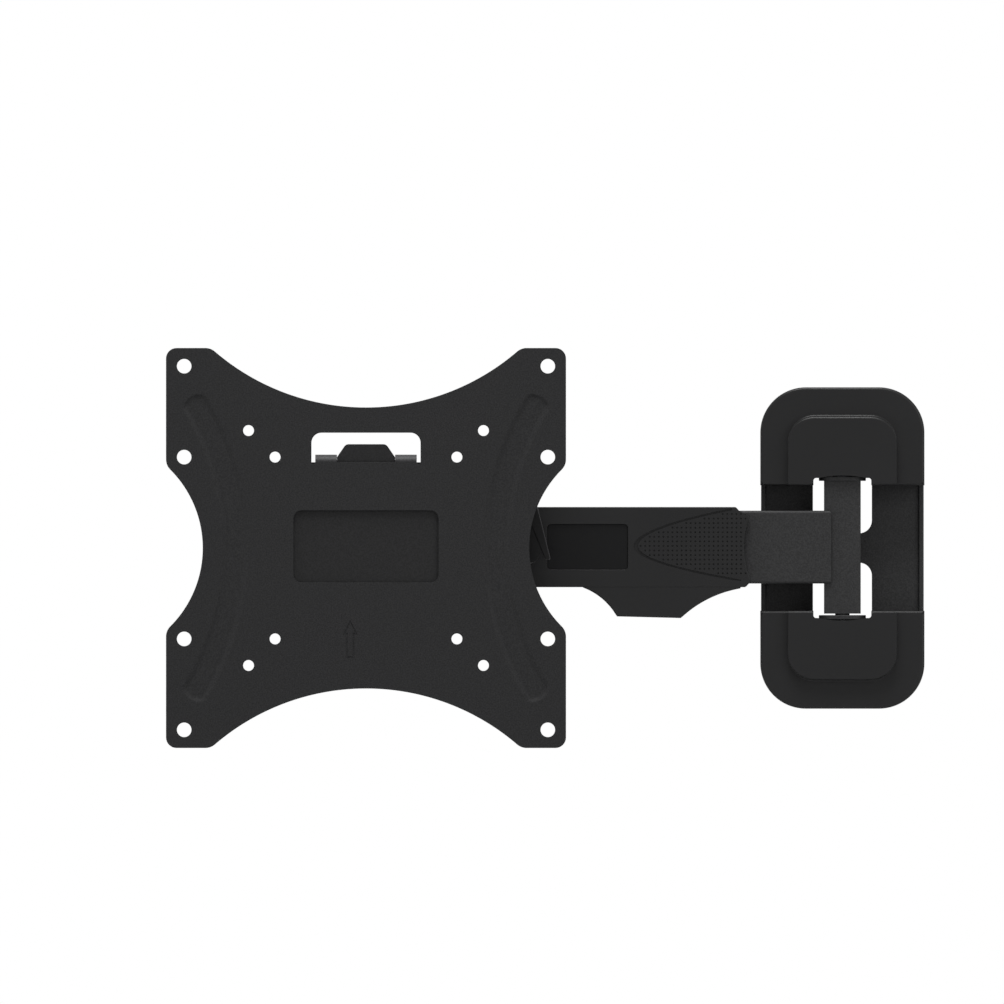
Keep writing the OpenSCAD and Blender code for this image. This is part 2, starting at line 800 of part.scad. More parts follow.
module elbow_nut() color(zinc) {
  z = channel_z[0] - elbow_washer_t - elbow_nut_h;
  difference() {
    hex_z(elbow_x, arm_y, z, z + elbow_nut_h, elbow_nut_af);
    rod_z(elbow_x, arm_y, z - 1, z + elbow_nut_h + 1, elbow_d / 2 + press_gap);
  }
}

module front_knuckle() color(steel_dark) knuckle(head_x);
module front_bushes() color(nylon) knuckle_bushes(head_x);
module front_thrust_washer() color(nylon) thrust_washer(head_x);

// ---------- swivel head ----------

module head_pivot_bolt() color(zinc) pivot_bolt(head_x);
module head_pivot_nut() color(zinc) pivot_nut(head_x);
module head_pivot_washers() color(zinc) pivot_washers(head_x);

// An ear seen from the side, from depth y0 to its round end about the tilt axis.
module ear_outline(y0, hole_r) {
  difference() {
    union() {
      translate([min(y0, tilt_y), -ear_r]) square([abs(y0 - tilt_y), 2 * ear_r]);
      translate([tilt_y, 0]) circle(ear_r);
    }
    translate([tilt_y, 0]) circle(hole_r);
  }
}

// A cross-shaped plate: a middle of w by h and two wings of half height ear_r.
module cross_outline(w, h, wing_w) {
  square([w, h], center = true);
  square([wing_w, 2 * ear_r], center = true);
}

// Two tabs that reach back round the knuckle, and two ears that reach forward to the tilt axis.
module swivel_bracket() color(steel_dark)
  translate([head_x, 0, 0]) {
    mid_h = 2 * (tab_out - bend_out);
    wing_w = swivel_w - 2 * bend_out;
    front_slab(web_back_y, plate_t) cross_outline(swivel_mid_w, mid_h, wing_w);
    for (s = [0, 1]) {
      mirror([0, 0, s]) swivel_tab();
      mirror([s, 0, 0]) swivel_ear();
    }
  }

module swivel_tab() {
  bend_y = web_back_y + bend_r;
  back_y = arm_y + tab_past;
  difference() {
    union() {
      side_slab(-swivel_mid_w / 2, swivel_mid_w)
        translate([bend_y, tab_in - bend_r]) quarter_ring(bend_r, bend_out, -1, 1);
      top_slab(tab_in, plate_t) {
        translate([0, bend_y]) gate(tab_w, back_y - bend_y, 0, window_r);
        translate([-swivel_mid_w / 2, bend_y]) square([swivel_mid_w, 6]);
      }
    }
    rod_z(0, arm_y, -far / 2, far / 2, pivot_d / 2 + 2 * run_gap);
  }
}

module swivel_ear() {
  out_x = swivel_w / 2;
  bend_y = web_front_y - bend_r;
  top_slab(-ear_r, 2 * ear_r)
    translate([out_x - bend_out, bend_y]) quarter_ring(bend_r, bend_out, 1, 1);
  side_slab(out_x - plate_t, plate_t) ear_outline(bend_y, tilt_d / 2 + 2 * run_gap);
}

tilt_bolt_head_h = 5.3;
tilt_bolt_af = 13;

module tilt_bolt() color(zinc)
  translate([head_x, 0, 0]) {
    head_x1 = -tilt_ear_out - washer_t;
    rod_x(tilt_y, 0, head_x1 - weld_eps, hub_end - 2, tilt_d / 2);
    translate([head_x1, tilt_y, 0]) rotate([0, -90, 0])
      cylinder(h = tilt_bolt_head_h, r = tilt_bolt_af / sqrt(3), $fn = 6);
  }

module tilt_spacer() color(zinc)
  translate([head_x, 0, 0]) difference() {
    l = swivel_w / 2 - plate_t;
    rod_x(tilt_y, 0, -l, l, spacer_d / 2);
    rod_x(tilt_y, 0, -l - 1, l + 1, tilt_d / 2 + 2 * run_gap);
  }

// ---------- tilt bracket ----------

// A slot for one guide. It is long enough for the roll, and high enough for the guide's curved path.
module guide_slot() {
  reach = guide_r * sin(roll_deg + 0.4);
  rise = guide_r * (1 - cos(roll_deg + 0.4)) / 2;
  r = guide_d / 2 + rise + run_gap;
  translate([0, guide_r - rise]) {
    square([2 * reach, 2 * r], center = true);
    for (s = [-1, 1]) translate([s * reach, 0]) circle(r);
  }
}

module tilt_bracket() color(steel_dark)
  translate([head_x, 0, 0]) {
    wing_w = 2 * (tilt_ear_out - bend_out);
    bend_y = tilt_back_y + bend_r;
    difference() {
      front_slab(tilt_back_y, plate_t)
        cross_outline(tilt_mid_w, tilt_mid_h, wing_w);
      front_slab(tilt_back_y + 1, plate_t + 2) {
        circle(stud_d / 2 + run_gap);
        for (s = [0, 1]) mirror([0, s]) guide_slot();
      }
    }
    for (s = [0, 1])
      mirror([s, 0, 0]) {
        top_slab(-ear_r, 2 * ear_r)
          translate([tilt_ear_out - bend_out, bend_y]) quarter_ring(bend_r, bend_out, 1, -1);
        side_slab(tilt_ear_in, plate_t) ear_outline(bend_y, tilt_d / 2 + run_gap);
      }
  }

module tilt_washers() color(nylon)
  translate([head_x, 0, 0])
    for (s = [0, 1])
      mirror([s, 0, 0]) difference() {
        rod_x(tilt_y, 0, swivel_w / 2 + run_gap, tilt_ear_in, ear_r - 1);
        rod_x(tilt_y, 0, 0, far, tilt_d / 2 + run_gap);
      }

roll_nut_h = 5;
roll_nut_af = 13;
roll_nut_washer_r = 8;
roll_disc_r = 20;

module roll_nut() color(zinc)
  difference() {
    translate([head_x, tilt_back_y + washer_t + roll_nut_h, 0]) rotate([90, 0, 0])
      cylinder(h = roll_nut_h, r = roll_nut_af / sqrt(3), $fn = 6);
    rod_y(head_x, 0, 0, -far, stud_d / 2 + press_gap);
  }

// One washer under the nut and one between the tilt bracket and the head plate.
module roll_washers() color(nylon)
  for (w = [
    [tilt_back_y + washer_t, washer_t, roll_nut_washer_r],
    [tilt_front_y, roll_washer_t - run_gap, roll_disc_r]
  ])
    difference() {
      rod_y(head_x, 0, w[0], w[0] - w[1], w[2]);
      rod_y(head_x, 0, 0, -far, stud_d / 2 + run_gap);
    }

// ---------- clamp lever ----------

lever_x0 = tilt_ear_out + washer_t;

// The blade seen from the front. It leans towards the head as it rises, and grows wider.
module blade_outline() {
  low = [[blade_x, -blade_low], [blade_x + blade_foot_w, 0.2 - blade_low]];
  right_lean = 0.273;
  left_lean = 0.403;
  polygon([
    low[0], low[1],
    [low[1][0] - right_lean * (lever_l - low[1][1]), lever_l],
    [low[0][0] - left_lean * (lever_l - low[0][1]), lever_l]
  ]);
  translate([(low[0][0] + low[1][0]) / 2, low[0][1] + 0.1]) circle(blade_foot_w / 2 + weld_eps);
}

module tilt_lever() color(plastic_dark)
  translate([head_x, 0, 0]) {
    flutes = 14;
    difference() {
      union() {
        rod_x(tilt_y, 0, lever_x0, hub_end, hub_r);
        translate([hub_end, tilt_y, 0]) sphere(hub_r);
        rod_x(tilt_y, 0, hub_end, blade_x - 0.7, neck_r);
        front_slab(tilt_y + blade_t / 2, blade_t) blade_outline();
      }
      rod_x(tilt_y, 0, lever_x0 - 1, hub_end, spacer_d / 2);
      for (i = [0 : flutes - 1])
        translate([lever_x0 - 1, tilt_y, 0]) rotate([i * 360 / flutes, 0, 0])
          translate([0, 0, hub_r + 0.5]) rotate([0, 90, 0])
            cylinder(h = hub_end - lever_x0 - 3, r = flute_r);
    }
  }

module lever_insert() color(zinc)
  translate([head_x, 0, 0]) difference() {
    rod_x(tilt_y, 0, lever_x0, hub_end, spacer_d / 2);
    rod_x(tilt_y, 0, lever_x0 - 1, hub_end - 1, tilt_d / 2 + run_gap);
  }

// ---------- roll head ----------

head_top = slot_z + hook_r - seat_gap;
lock_x = 30;
lock_z = head_low - 6.5;
lock_d = 5;
lock_gap = 4;
lock_knob_t = 4;

// The head plate's lug, with sloping sides and round top corners.
module lug_shape() {
  base = 16;
  half = 12;
  foot = slot_z + 2.8;
  top = slot_z + 9.9;
  r = 3;
  lean = atan2(top - foot, base - half);
  touch = r * tan(lean / 2);
  polygon([
    [-base, foot - 5], [base, foot - 5], [base, foot],
    [half - touch + r * sin(lean), top - r + r * cos(lean)], [half - touch, top],
    [touch - half, top], [touch - half - r * sin(lean), top - r + r * cos(lean)], [-base, foot]
  ]);
  for (s = [-1, 1]) translate([s * (half - touch), top - r]) circle(r);
}

module head_plate() color(steel_dark)
  translate([head_x, 0, 0]) difference() {
    shoulder = slot_z - seat_gap;
    front_slab(head_back_y, plate_t) {
      translate([0, (shoulder - head_low) / 2]) round_rect(head_w, shoulder + head_low, 6);
      translate([-hook_w / 2 + 0.5, 0]) square([hook_w - 1, head_top]);
      translate([-notch_w / 2 + 0.5, 0]) square([notch_w - 1, slot_z + 2.5]);
      lug_shape();
    }
    // room for the hook's first bend
    for (s = [-1, 1])
      translate([s * (hook_w + notch_w) / 4, head_front_y, head_top])
        rotate([45, 0, 0]) cube([(hook_w - notch_w) / 2 + 2, 1.2, 1.2], center = true);
    for (s = [-1, 1])
      rod_y(s * lock_x, -lock_z, head_back_y + 1, head_front_y - 1, lock_d / 2 + press_gap);
  }

module roll_stud() color(zinc)
  rod_y(head_x, 0, tilt_back_y + washer_t + roll_nut_h + 0.5, head_back_y, stud_d / 2);

module roll_guides() color(zinc)
  for (s = [-1, 1]) {
    behind = tilt_back_y + seat_gap;
    rod_y(head_x, s * guide_r, behind + weld_eps, head_back_y, guide_d / 2);
    rod_y(head_x, s * guide_r, behind + 2, behind, guide_d / 2 + 2);
  }

module lock_screws() color(zinc)
  for (s = [-1, 1]) {
    rod_y(head_x + s * lock_x, -lock_z, head_back_y + lock_gap + weld_eps, tv_back_y, lock_d / 2);
    rod_y(head_x + s * lock_x, -lock_z, head_back_y + lock_gap + lock_knob_t, head_back_y + lock_gap,
      lock_d);
  }

// A curve that is cut into the edge above the middle, with round shoulders. The curve's radius is r,
// its deepest point is at height z, and the edge is at height edge.
module bite(r, z, edge) {
  centre = z + r;
  drop = centre - edge;
  shoulder = sqrt(pow(r + blend_r, 2) - pow(drop + blend_r, 2));
  touch = [shoulder, edge - blend_r];
  on_curve = [0, centre] + (touch - [0, centre]) * r / (r + blend_r);
  translate([0, centre]) circle(r, $fn = 180);
  for (s = [0, 1])
    mirror([s, 0]) difference() {
      polygon([[shoulder, edge + 1], [0, edge + 1], [0, edge - 1], on_curve, touch, [shoulder, edge]]);
      translate(touch) circle(blend_r);
    }
}

module tv_outline() {
  difference() {
    round_rect(tv_w, tv_w, tv_r);
    for (a = [0, 180]) rotate(a) bite(bite_r, bite_z, tv_w / 2);
    for (a = [90, 270]) rotate(a) bite(side_r, side_x, tv_w / 2);
  }
}

module vesa_holes() {
  for (x = [-1, 1], z = [-1, 1]) {
    translate([x * vesa_l, z * vesa_l] / 2) circle(d = big_hole_d);
    translate([x * vesa_l, z * vesa_s] / 2) circle(d = big_hole_d);
    translate([x * vesa_s, z * vesa_s] / 2) circle(d = small_hole_d);
    translate([x * vesa_d, z * vesa_d] / 2) circle(d = small_hole_d);
  }
}

// The arrow that shows which way is up, as a thin line.
module arrow_shape(inset) {
  tip = [-8.7, -39.7];
  head_z = -47.5;
  head_half = 4;
  shaft_half = 2.3;
  low_z = -60.5;
  k = 1.9;
  polygon([
    [tip[0], tip[1] - k * inset],
    [tip[0] + head_half - k * inset * 0.8, head_z + inset],
    [tip[0] + shaft_half - inset, head_z + inset], [tip[0] + shaft_half - inset, low_z + inset],
    [tip[0] - shaft_half + inset, low_z + inset], [tip[0] - shaft_half + inset, head_z + inset],
    [tip[0] - head_half + k * inset * 0.8, head_z + inset]
  ]);
}

// One stiffening bead as a solid: part of a ring whose section is a circle, with round ends.
// y is the depth of the ring's centre line and r the section's radius.
module bead_ring(y, r) {
  reach = asin(bead_half / bead_path_r);
  translate([-bead_x - bead_path_r, y, 0]) rotate([90, 0, 0]) {
    rotate(-reach) rotate_extrude(angle = 2 * reach, $fn = 180) translate([bead_path_r, 0]) circle(r);
    for (s = [-1, 1]) rotate(s * reach) translate([bead_path_r, 0, 0]) sphere(r);
  }
}

// One half of the hook, bent back from the slot's lower edge and down behind the head plate.
module hook_half() {
  lip_y = head_back_y + 0.5;
  lip_r = 1;
  over_z = slot_z + hook_r;
  side_slab(notch_w / 2, (hook_w - notch_w) / 2) union() {
    translate([tv_back_y + hook_r, slot_z]) quarter_ring(hook_r, hook_r + tv_t, -1, 1);
    translate([tv_back_y + hook_r, over_z])
      square([lip_y - lip_r - tv_back_y - hook_r, tv_t]);
    translate([lip_y - lip_r, over_z - lip_r]) quarter_ring(lip_r, lip_r + tv_t, 1, 1);
    translate([lip_y, over_z - lip_r - lip_l + 1]) square([tv_t, lip_l - 1]);
  }
}

module tv_plate() color(steel_dark)
  translate([head_x, 0, 0]) {
    bead_r = (pow(bead_w / 2, 2) + pow(bead_depth, 2)) / (2 * bead_depth);
    difference() {
      union() {
        front_slab(tv_back_y, tv_t) tv_outline();
        // the back of each pressed bead
        intersection() {
          for (s = [0, 1])
            mirror([s, 0, 0])
              bead_ring(tv_back_y - bead_r + bead_depth, bead_r);
          front_slab(tv_back_y + bead_depth + 1, bead_depth + 1 + tv_t / 2) tv_outline();
        }
      }
      front_slab(tv_back_y + 5, far) {
        vesa_holes();
        translate([0, slot_z]) gate(slot_w, slot_h, 0, 5.5);
        // reliefs beside the hook's bends
        for (s = [-1, 1]) translate([s * (slot_w + hook_w) / 4, slot_z]) circle(1.04);
        translate([0, (view_z[0] + view_z[1]) / 2])
          round_rect(view_w, view_z[1] - view_z[0], view_r);
      }
      for (s = [0, 1])
        mirror([s, 0, 0]) bead_ring(tv_front_y - bead_r + bead_depth, bead_r);
      front_slab(tv_front_y + 0.3, far) difference() {
        arrow_shape(0);
        arrow_shape(0.9);
      }
    }
    for (s = [0, 1]) mirror([s, 0, 0]) hook_half();
  }

wall_plate();
upper_cover();
lower_cover();
wall_pivot_bolt();
wall_pivot_nut();
wall_pivot_washers();
rear_knuckle();
rear_bushes();
rear_thrust_washer();
rear_tube();
elbow_barrel();
elbow_bushes();
front_channel();
front_cover();
recess_cap();
cover_screws();
elbow_shroud();
elbow_pin();
elbow_washer();
elbow_nut();
front_knuckle();
front_bushes();
front_thrust_washer();
swivel_bracket();
head_pivot_bolt();
head_pivot_nut();
head_pivot_washers();
tilt_bolt();
tilt_spacer();
tilt_bracket();
tilt_washers();
roll_nut();
roll_washers();
tilt_lever();
lever_insert();
head_plate();
roll_stud();
roll_guides();
lock_screws();
tv_plate();
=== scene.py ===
# %% [markdown]
# # A folding wall mount for a flat television
#
# The mount is a wall bracket, two arms and a head that carries the plate for the screen. The packed
# solids already have the right sizes. What they lack is what a hand would feel: rounded edges, the
# soft walls of a pressed bead, a dimpled grip. So the pieces that show are made again here as
# surfaces, and the rest keep their solids and get a better finish.

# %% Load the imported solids
import json
import math

import bpy
import numpy as np
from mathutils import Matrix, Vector
from mathutils.geometry import delaunay_2d_cdt


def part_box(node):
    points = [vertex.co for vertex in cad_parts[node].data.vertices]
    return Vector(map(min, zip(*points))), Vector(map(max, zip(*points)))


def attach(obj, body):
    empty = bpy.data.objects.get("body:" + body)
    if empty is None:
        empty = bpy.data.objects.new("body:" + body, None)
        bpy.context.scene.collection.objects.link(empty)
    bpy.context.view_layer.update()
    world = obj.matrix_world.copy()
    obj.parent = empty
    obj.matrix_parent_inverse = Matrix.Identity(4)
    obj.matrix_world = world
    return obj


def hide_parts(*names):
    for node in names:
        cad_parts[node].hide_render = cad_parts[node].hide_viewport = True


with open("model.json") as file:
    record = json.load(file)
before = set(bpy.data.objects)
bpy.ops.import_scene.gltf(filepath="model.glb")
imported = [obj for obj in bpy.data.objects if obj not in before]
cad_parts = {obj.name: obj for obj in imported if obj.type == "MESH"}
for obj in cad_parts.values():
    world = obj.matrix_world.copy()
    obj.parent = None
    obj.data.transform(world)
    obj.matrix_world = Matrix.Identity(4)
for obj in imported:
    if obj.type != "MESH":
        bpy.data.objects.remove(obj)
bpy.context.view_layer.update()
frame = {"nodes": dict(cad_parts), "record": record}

# %% [markdown]
# ## Camera, light and ground
#
# A flat view straight at the wall shows a mount as a drawing does, so the camera is orthographic.
# The main lamp hangs overhead and brightens every edge that leans up. A wide one on the right
# lights the wall bracket past the arm. A low one far out on the left balances it on the screen
# plate, which shades the rest of the mount from it, and the sky fills in. The camera and the
# glossy rays see white, while the light that falls on the object is weaker, so black steel stays
# black.

# %% Camera
VIEW_MIDDLE = (-0.1872, 0.0253)
VIEW_WIDTH = 0.5522
VIEW_FROM = -1.6

camera_data = bpy.data.cameras.new("camera")
camera_data.type = "ORTHO"
camera_data.ortho_scale = VIEW_WIDTH
camera = bpy.data.objects.new("camera", camera_data)
camera.location = (VIEW_MIDDLE[0], VIEW_FROM, VIEW_MIDDLE[1])
camera.rotation_euler = (math.pi / 2, 0, 0)
bpy.context.collection.objects.link(camera)
bpy.context.scene.camera = camera
bpy.context.scene.view_settings.view_transform = "Standard"
print("the view is", VIEW_WIDTH, "m wide")


# %% Lamps
def area_lamp(name, place, target, size, watts):
    """A square soft lamp at one point that faces another."""
    data = bpy.data.lights.new(name, "AREA")
    data.size = size
    data.energy = watts
    lamp = bpy.data.objects.new(name, data)
    lamp.location = place
    aim = Vector(target) - Vector(place)
    lamp.rotation_euler = aim.to_track_quat("-Z", "Y").to_euler()
    bpy.context.collection.objects.link(lamp)
    print(name, "lamp of", watts, "W")


middle = (-0.19, -0.04, 0.0)
area_lamp("top", (-0.19, -1.03, 2.4), middle, 1.3, 85)
area_lamp("key", (1.95, -2.4, 0.8), middle, 1.8, 31)
area_lamp("side", (-2.57, -0.74, 0.15), middle, 1.0, 22)


# %% Shader nodes
def add(tree, kind, **inputs):
    """A new shader node, with the inputs that are named set to their values."""
    made = tree.nodes.new("ShaderNode" + kind)
    for name, value in inputs.items():
        made.inputs[name.replace("_", " ")].default_value = value
    return made


def two_faced(tree, for_light, for_view, end):
    """Shows one shader to the light, and another to the camera, to gloss and through glass."""
    link = tree.links.new
    path, mix = add(tree, "LightPath"), add(tree, "MixShader")
    first, second = add(tree, "Math"), add(tree, "Math")
    first.operation = second.operation = "MAXIMUM"
    link(path.outputs["Is Camera Ray"], first.inputs[0])
    link(path.outputs["Is Glossy Ray"], first.inputs[1])
    link(first.outputs[0], second.inputs[0])
    link(path.outputs["Is Transmission Ray"], second.inputs[1])
    link(second.outputs[0], mix.inputs[0])
    link(for_light.outputs[0], mix.inputs[1])
    link(for_view.outputs[0], mix.inputs[2])
    link(mix.outputs[0], end.inputs[0])


# %% Sky
WHITE = (1, 1, 1, 1)
SKY_LIGHT = 0.28

world = bpy.data.worlds.new("sky")
world.use_nodes = True
tree = world.node_tree
tree.nodes.clear()
two_faced(tree, add(tree, "Background", Color=WHITE, Strength=SKY_LIGHT),
          add(tree, "Background", Color=WHITE, Strength=1.0), add(tree, "OutputWorld"))
bpy.context.scene.world = world
print("the sky's light is", SKY_LIGHT)

# %% Ground
GROUND_X, GROUND_Y, GROUND_Z, GROUND_R = -0.1, -0.85, -0.32, 1.4
GROUND_GREY = (0.35, 0.35, 0.35, 1)

angle = np.radians(np.arange(0, 360, 5))
rim = np.column_stack([GROUND_X + GROUND_R * np.cos(angle), GROUND_Y + GROUND_R * np.sin(angle),
                       np.full(len(angle), GROUND_Z)])
ground_mesh = bpy.data.meshes.new("ground")
ground_mesh.from_pydata(rim.tolist(), [], [tuple(range(len(rim)))])
ground = bpy.data.objects.new("ground", ground_mesh)
bpy.context.collection.objects.link(ground)

pale = bpy.data.materials.new("ground_pale")
pale.use_nodes = True
tree = pale.node_tree
tree.nodes.clear()
two_faced(tree, add(tree, "BsdfDiffuse", Color=GROUND_GREY), add(tree, "BsdfDiffuse", Color=WHITE),
          add(tree, "OutputMaterial"))
ground_mesh.materials.append(pale)
print("ground at", GROUND_Z, "m")

# %% [markdown]
# ## Finishes
#
# Bracket steel is powder coated: the melted powder leaves a fine orange-peel skin. A noise with a
# grain of 0.7 mm gives it, both as a small change of colour and as a bump. The covers are moulded
# plastic, which is smoother, with only a faint spark-eroded grain. Bolts are zinc plated, and the
# bushes are black nylon. Some finishes hold painted light: a painted highlight on the hooks' bends
# and on the lever's right edge, painted shade on the head plate and the wall covers, and painted
# light on the wall plate.

# %% One recipe for all finishes
BROAD = 1 / 14
RAMP_AT = (0.34, 0.66)
WEAR_AT, WEAR = (0.3, 0.7), 0.05


def finish(name, colour, rough, grain, spread, bump, specular=0.5, metal=0.0, stretch=(1, 1, 1),
           highlight_by_height=None):
    """A material whose colour and roughness wander with a noise.

    grain is the size of the noise's cells in metres, spread the share by which the colour
    moves, bump the height of the skin in metres, and stretch turns the grain into brush lines.
    The last argument is (low, high, gain): the colour grows by that factor from one height to the
    other, a painted highlight on faces that lean up."""
    material = bpy.data.materials.new(name)
    material.use_nodes = True
    tree = material.node_tree
    tree.nodes.clear()
    link = tree.links.new
    shader = add(tree, "BsdfPrincipled", Metallic=metal, Specular_IOR_Level=specular)
    link(shader.outputs[0], add(tree, "OutputMaterial").inputs[0])
    place = add(tree, "TexCoord").outputs["Object"]
    scale = add(tree, "Mapping", Scale=stretch)
    link(place, scale.inputs["Vector"])
    fine = add(tree, "TexNoise", Scale=1 / grain, Detail=2.0)
    broad = add(tree, "TexNoise", Scale=1 / BROAD, Detail=2.0)
    for texture in (fine, broad):
        link(scale.outputs[0], texture.inputs["Vector"])
    tint = add(tree, "ValToRGB")
    for stop, at, share in zip(tint.color_ramp.elements, RAMP_AT, (1 - spread, 1 + spread)):
        stop.position = at
        stop.color = (*(c * share for c in colour), 1)
    link(fine.outputs["Fac"], tint.inputs["Fac"])
    skin_colour = tint.outputs["Color"]
    # Painted highlight: the colour grows with height, so faces that lean up look lit.
    if highlight_by_height:
        height = add(tree, "SeparateXYZ")
        link(place, height.inputs[0])
        gain = add(tree, "MapRange", From_Min=highlight_by_height[0], From_Max=highlight_by_height[1], To_Min=1.0, To_Max=highlight_by_height[2])
        link(height.outputs["Z"], gain.inputs["Value"])
        painted_highlight = add(tree, "VectorMath")
        painted_highlight.operation = "SCALE"
        link(skin_colour, painted_highlight.inputs[0])
        link(gain.outputs[0], painted_highlight.inputs["Scale"])
        skin_colour = painted_highlight.outputs[0]
    link(skin_colour, shader.inputs["Base Color"])
    wear_and_highlight = add(tree, "MapRange", From_Min=WEAR_AT[0], From_Max=WEAR_AT[1], To_Min=rough - WEAR,
               To_Max=rough + WEAR)
    link(broad.outputs["Fac"], wear_and_highlight.inputs["Value"])
    link(wear_and_highlight.outputs[0], shader.inputs["Roughness"])
    skin = add(tree, "Bump", Strength=1.0, Distance=bump)
    link(fine.outputs["Fac"], skin.inputs["Height"])
    link(skin.outputs[0], shader.inputs["Normal"])
    return material


# %% The finishes, and one for each solid
STEEL = {"grain": 0.0007, "spread": 0.3, "bump": 0.00005, "specular": 0.15}
PLASTIC = {"grain": 0.0005, "spread": 0.05, "bump": 0.000005, "specular": 0.15}
PLATE = {**STEEL, "spread": 0.2, "specular": 0.04}
# The hooks' finish is darker at the foot of the bend and 3.4 times lighter at its top: a painted
# highlight where the bend leans up to the top lamp.
HOOK_HIGHLIGHT = {**STEEL, "bump": 0.00003, "highlight_by_height": (0.0474, 0.0495, 3.4)}
CAP = {**PLASTIC, "spread": 0.06, "specular": 0.1}
ZINC = {"grain": 0.0009, "spread": 0.12, "bump": 0.000006, "metal": 1.0, "stretch": (1, 1, 0.25)}
NYLON = {"grain": 0.0008, "spread": 0.06, "bump": 0.000006, "specular": 0.4}
LOOKS = {
    "coated_steel": ((0.0202, 0.0202, 0.0207), 0.5, STEEL),
    # Painted light: a lighter copy of the coated steel for the wall plate.
    "tray_steel_painted_light": ((0.0228, 0.0228, 0.0233), 0.5, STEEL),
    "plate_steel": ((0.0226, 0.0226, 0.0232), 0.52, PLATE),
    # Painted shade: a darker copy of the plate steel for the head plate, which lies behind the
    # screen plate.
    "head_steel_painted_shade": ((0.0087, 0.0087, 0.0090), 0.52, STEEL),
    # Painted highlight on the hooks' upper bends.
    "hook_steel_painted_highlight": ((0.0124, 0.0124, 0.0128), 0.5, HOOK_HIGHLIGHT),
    "cover_plastic": ((0.0108, 0.0108, 0.0111), 0.38, PLASTIC),
    # Painted shade: a darker copy of the cover plastic for the wall covers.
    "wall_plastic_painted_shade": ((0.0099, 0.0099, 0.0102), 0.38, PLASTIC),
    "cap_plastic": ((0.0043, 0.0043, 0.0046), 0.42, CAP),
    "lever_plastic": ((0.0090, 0.0090, 0.0093), 0.45, {**PLASTIC, "specular": 0.1}),
    # A painted highlight: five times the lever's colour, on its right edge.
    "lever_edge_painted_highlight": ((0.045, 0.045, 0.047), 0.4, {**PLASTIC, "spread": 0.1}),
    "zinc": ((0.24, 0.248, 0.264), 0.55, ZINC),
    "bush_nylon": ((0.011, 0.011, 0.011), 0.42, NYLON),
}
FINISH = {name: finish(name, colour, rough, **more)
          for name, (colour, rough, more) in LOOKS.items()}
for part in frame["record"]["subparts"]:
    node = frame["nodes"][part["node"]]
    node.data.materials.clear()
    node.data.materials.append(FINISH[part["material_slot"]])
print(len(FINISH), "finishes on", len(frame["nodes"]), "solids")

# %% [markdown]
# ## Drawing flat shapes
#
# Nearly every piece here is cut from a flat blank, so the first tools draw outlines in millimetres.
# An outline is an array of points. The material always lies to the left of the path: outer outlines
# run anticlockwise, and holes run clockwise.


# %% Arcs and rings
def arc(x, z, r, start, stop, n):
    """Points on a circle round (x, z): the angle runs evenly from start to stop, in degrees."""
    angle = np.radians(np.linspace(start, stop, n + 1))
    return np.column_stack([x + r * np.cos(angle), z + r * np.sin(angle)])


def ring(x, z, r, n=32):
    """A hole: a full circle, run clockwise."""
    return arc(x, z, r, 360, 0, n)[:-1]


# %% Paths from pieces
def joined(*pieces):
    """One path from several, without points that repeat."""
    path = np.vstack([np.atleast_2d(p) for p in pieces])
    step = np.hypot(*(path - np.roll(path, 1, axis=0)).T)
    return path[step > 1e-4]


def round_box(x0, z0, x1, z1, r, n=8):
    """A rectangle between two corners, with its corners rounded by r."""
    return joined(
        arc(x1 - r, z0 + r, r, 270, 360, n), arc(x1 - r, z1 - r, r, 0, 90, n),
        arc(x0 + r, z1 - r, r, 90, 180, n), arc(x0 + r, z0 + r, r, 180, 270, n))


def filled_in(path, step, closed=True):
    """The same path with points added on its straight runs, at most step apart."""
    stop = np.roll(path, -1, axis=0) if closed else path[1:]
    start = path if closed else path[:-1]
    run = stop - start
    count = np.maximum(1, np.ceil(np.hypot(*run.T) / step)).astype(int)
    which = np.repeat(np.arange(len(start)), count)
    nth = np.arange(count.sum()) - np.repeat(np.cumsum(count) - count, count)
    points = start[which] + run[which] * (nth / count[which])[:, None]
    return points if closed else np.vstack([points, path[-1:]])


# %% Mirror images, lines and grids
def mirrored(path):
    """The mirror image of an outline across the Z axis, with the material still on its left."""
    return (path * [-1, 1])[::-1]


def four_fold(quarter):
    """A whole outline from its quarter between +X and +Z, mirrored across both axes."""
    return joined(quarter, mirrored(quarter)[1:], -quarter[1:], (quarter * [1, -1])[::-1][1:-1])


def line(start, stop, step):
    """A straight run between two points, with points at most step apart."""
    return filled_in(np.array([start, stop]), step, closed=False)


def grid(xs, zs):
    """Every point that has one of the first values as its X and one of the second as its Z."""
    return np.stack(np.meshgrid(xs, zs), axis=-1).reshape(-1, 2)


# %% To the left of a path
def leftward(path, closed=True):
    """At each point, the step to the left that moves both neighbouring edges by one unit.

    It is the mean of the two edges' left normals, divided by the cosine of half the turn."""
    ahead = np.roll(path, -1, axis=0) - path
    behind = path - np.roll(path, 1, axis=0)
    if not closed:
        ahead[-1], behind[0] = behind[-1], ahead[0]
    ahead = ahead / np.hypot(*ahead.T)[:, None]
    behind = behind / np.hypot(*behind.T)[:, None]
    left_a = np.column_stack([-ahead[:, 1], ahead[:, 0]])
    left_b = np.column_stack([-behind[:, 1], behind[:, 0]])
    mean = left_a + left_b
    mean /= np.hypot(*mean.T)[:, None]
    return mean, 1 / np.maximum((mean * left_a).sum(axis=1), 0.5)


# %% [markdown]
# ## Skins
#
# A piece is put together from patches. A wall is a profile carried along an outline, and a face
# fills the area between outlines. Each patch also works out its own normals, so a rounded edge
# shades softly and the flat face beside it stays flat. A skin's third coordinate is its height
# above the drawing, towards the viewer.


# %% Walls
def flat(points):
    """The height of a face that has no relief."""
    return np.zeros(len(points))


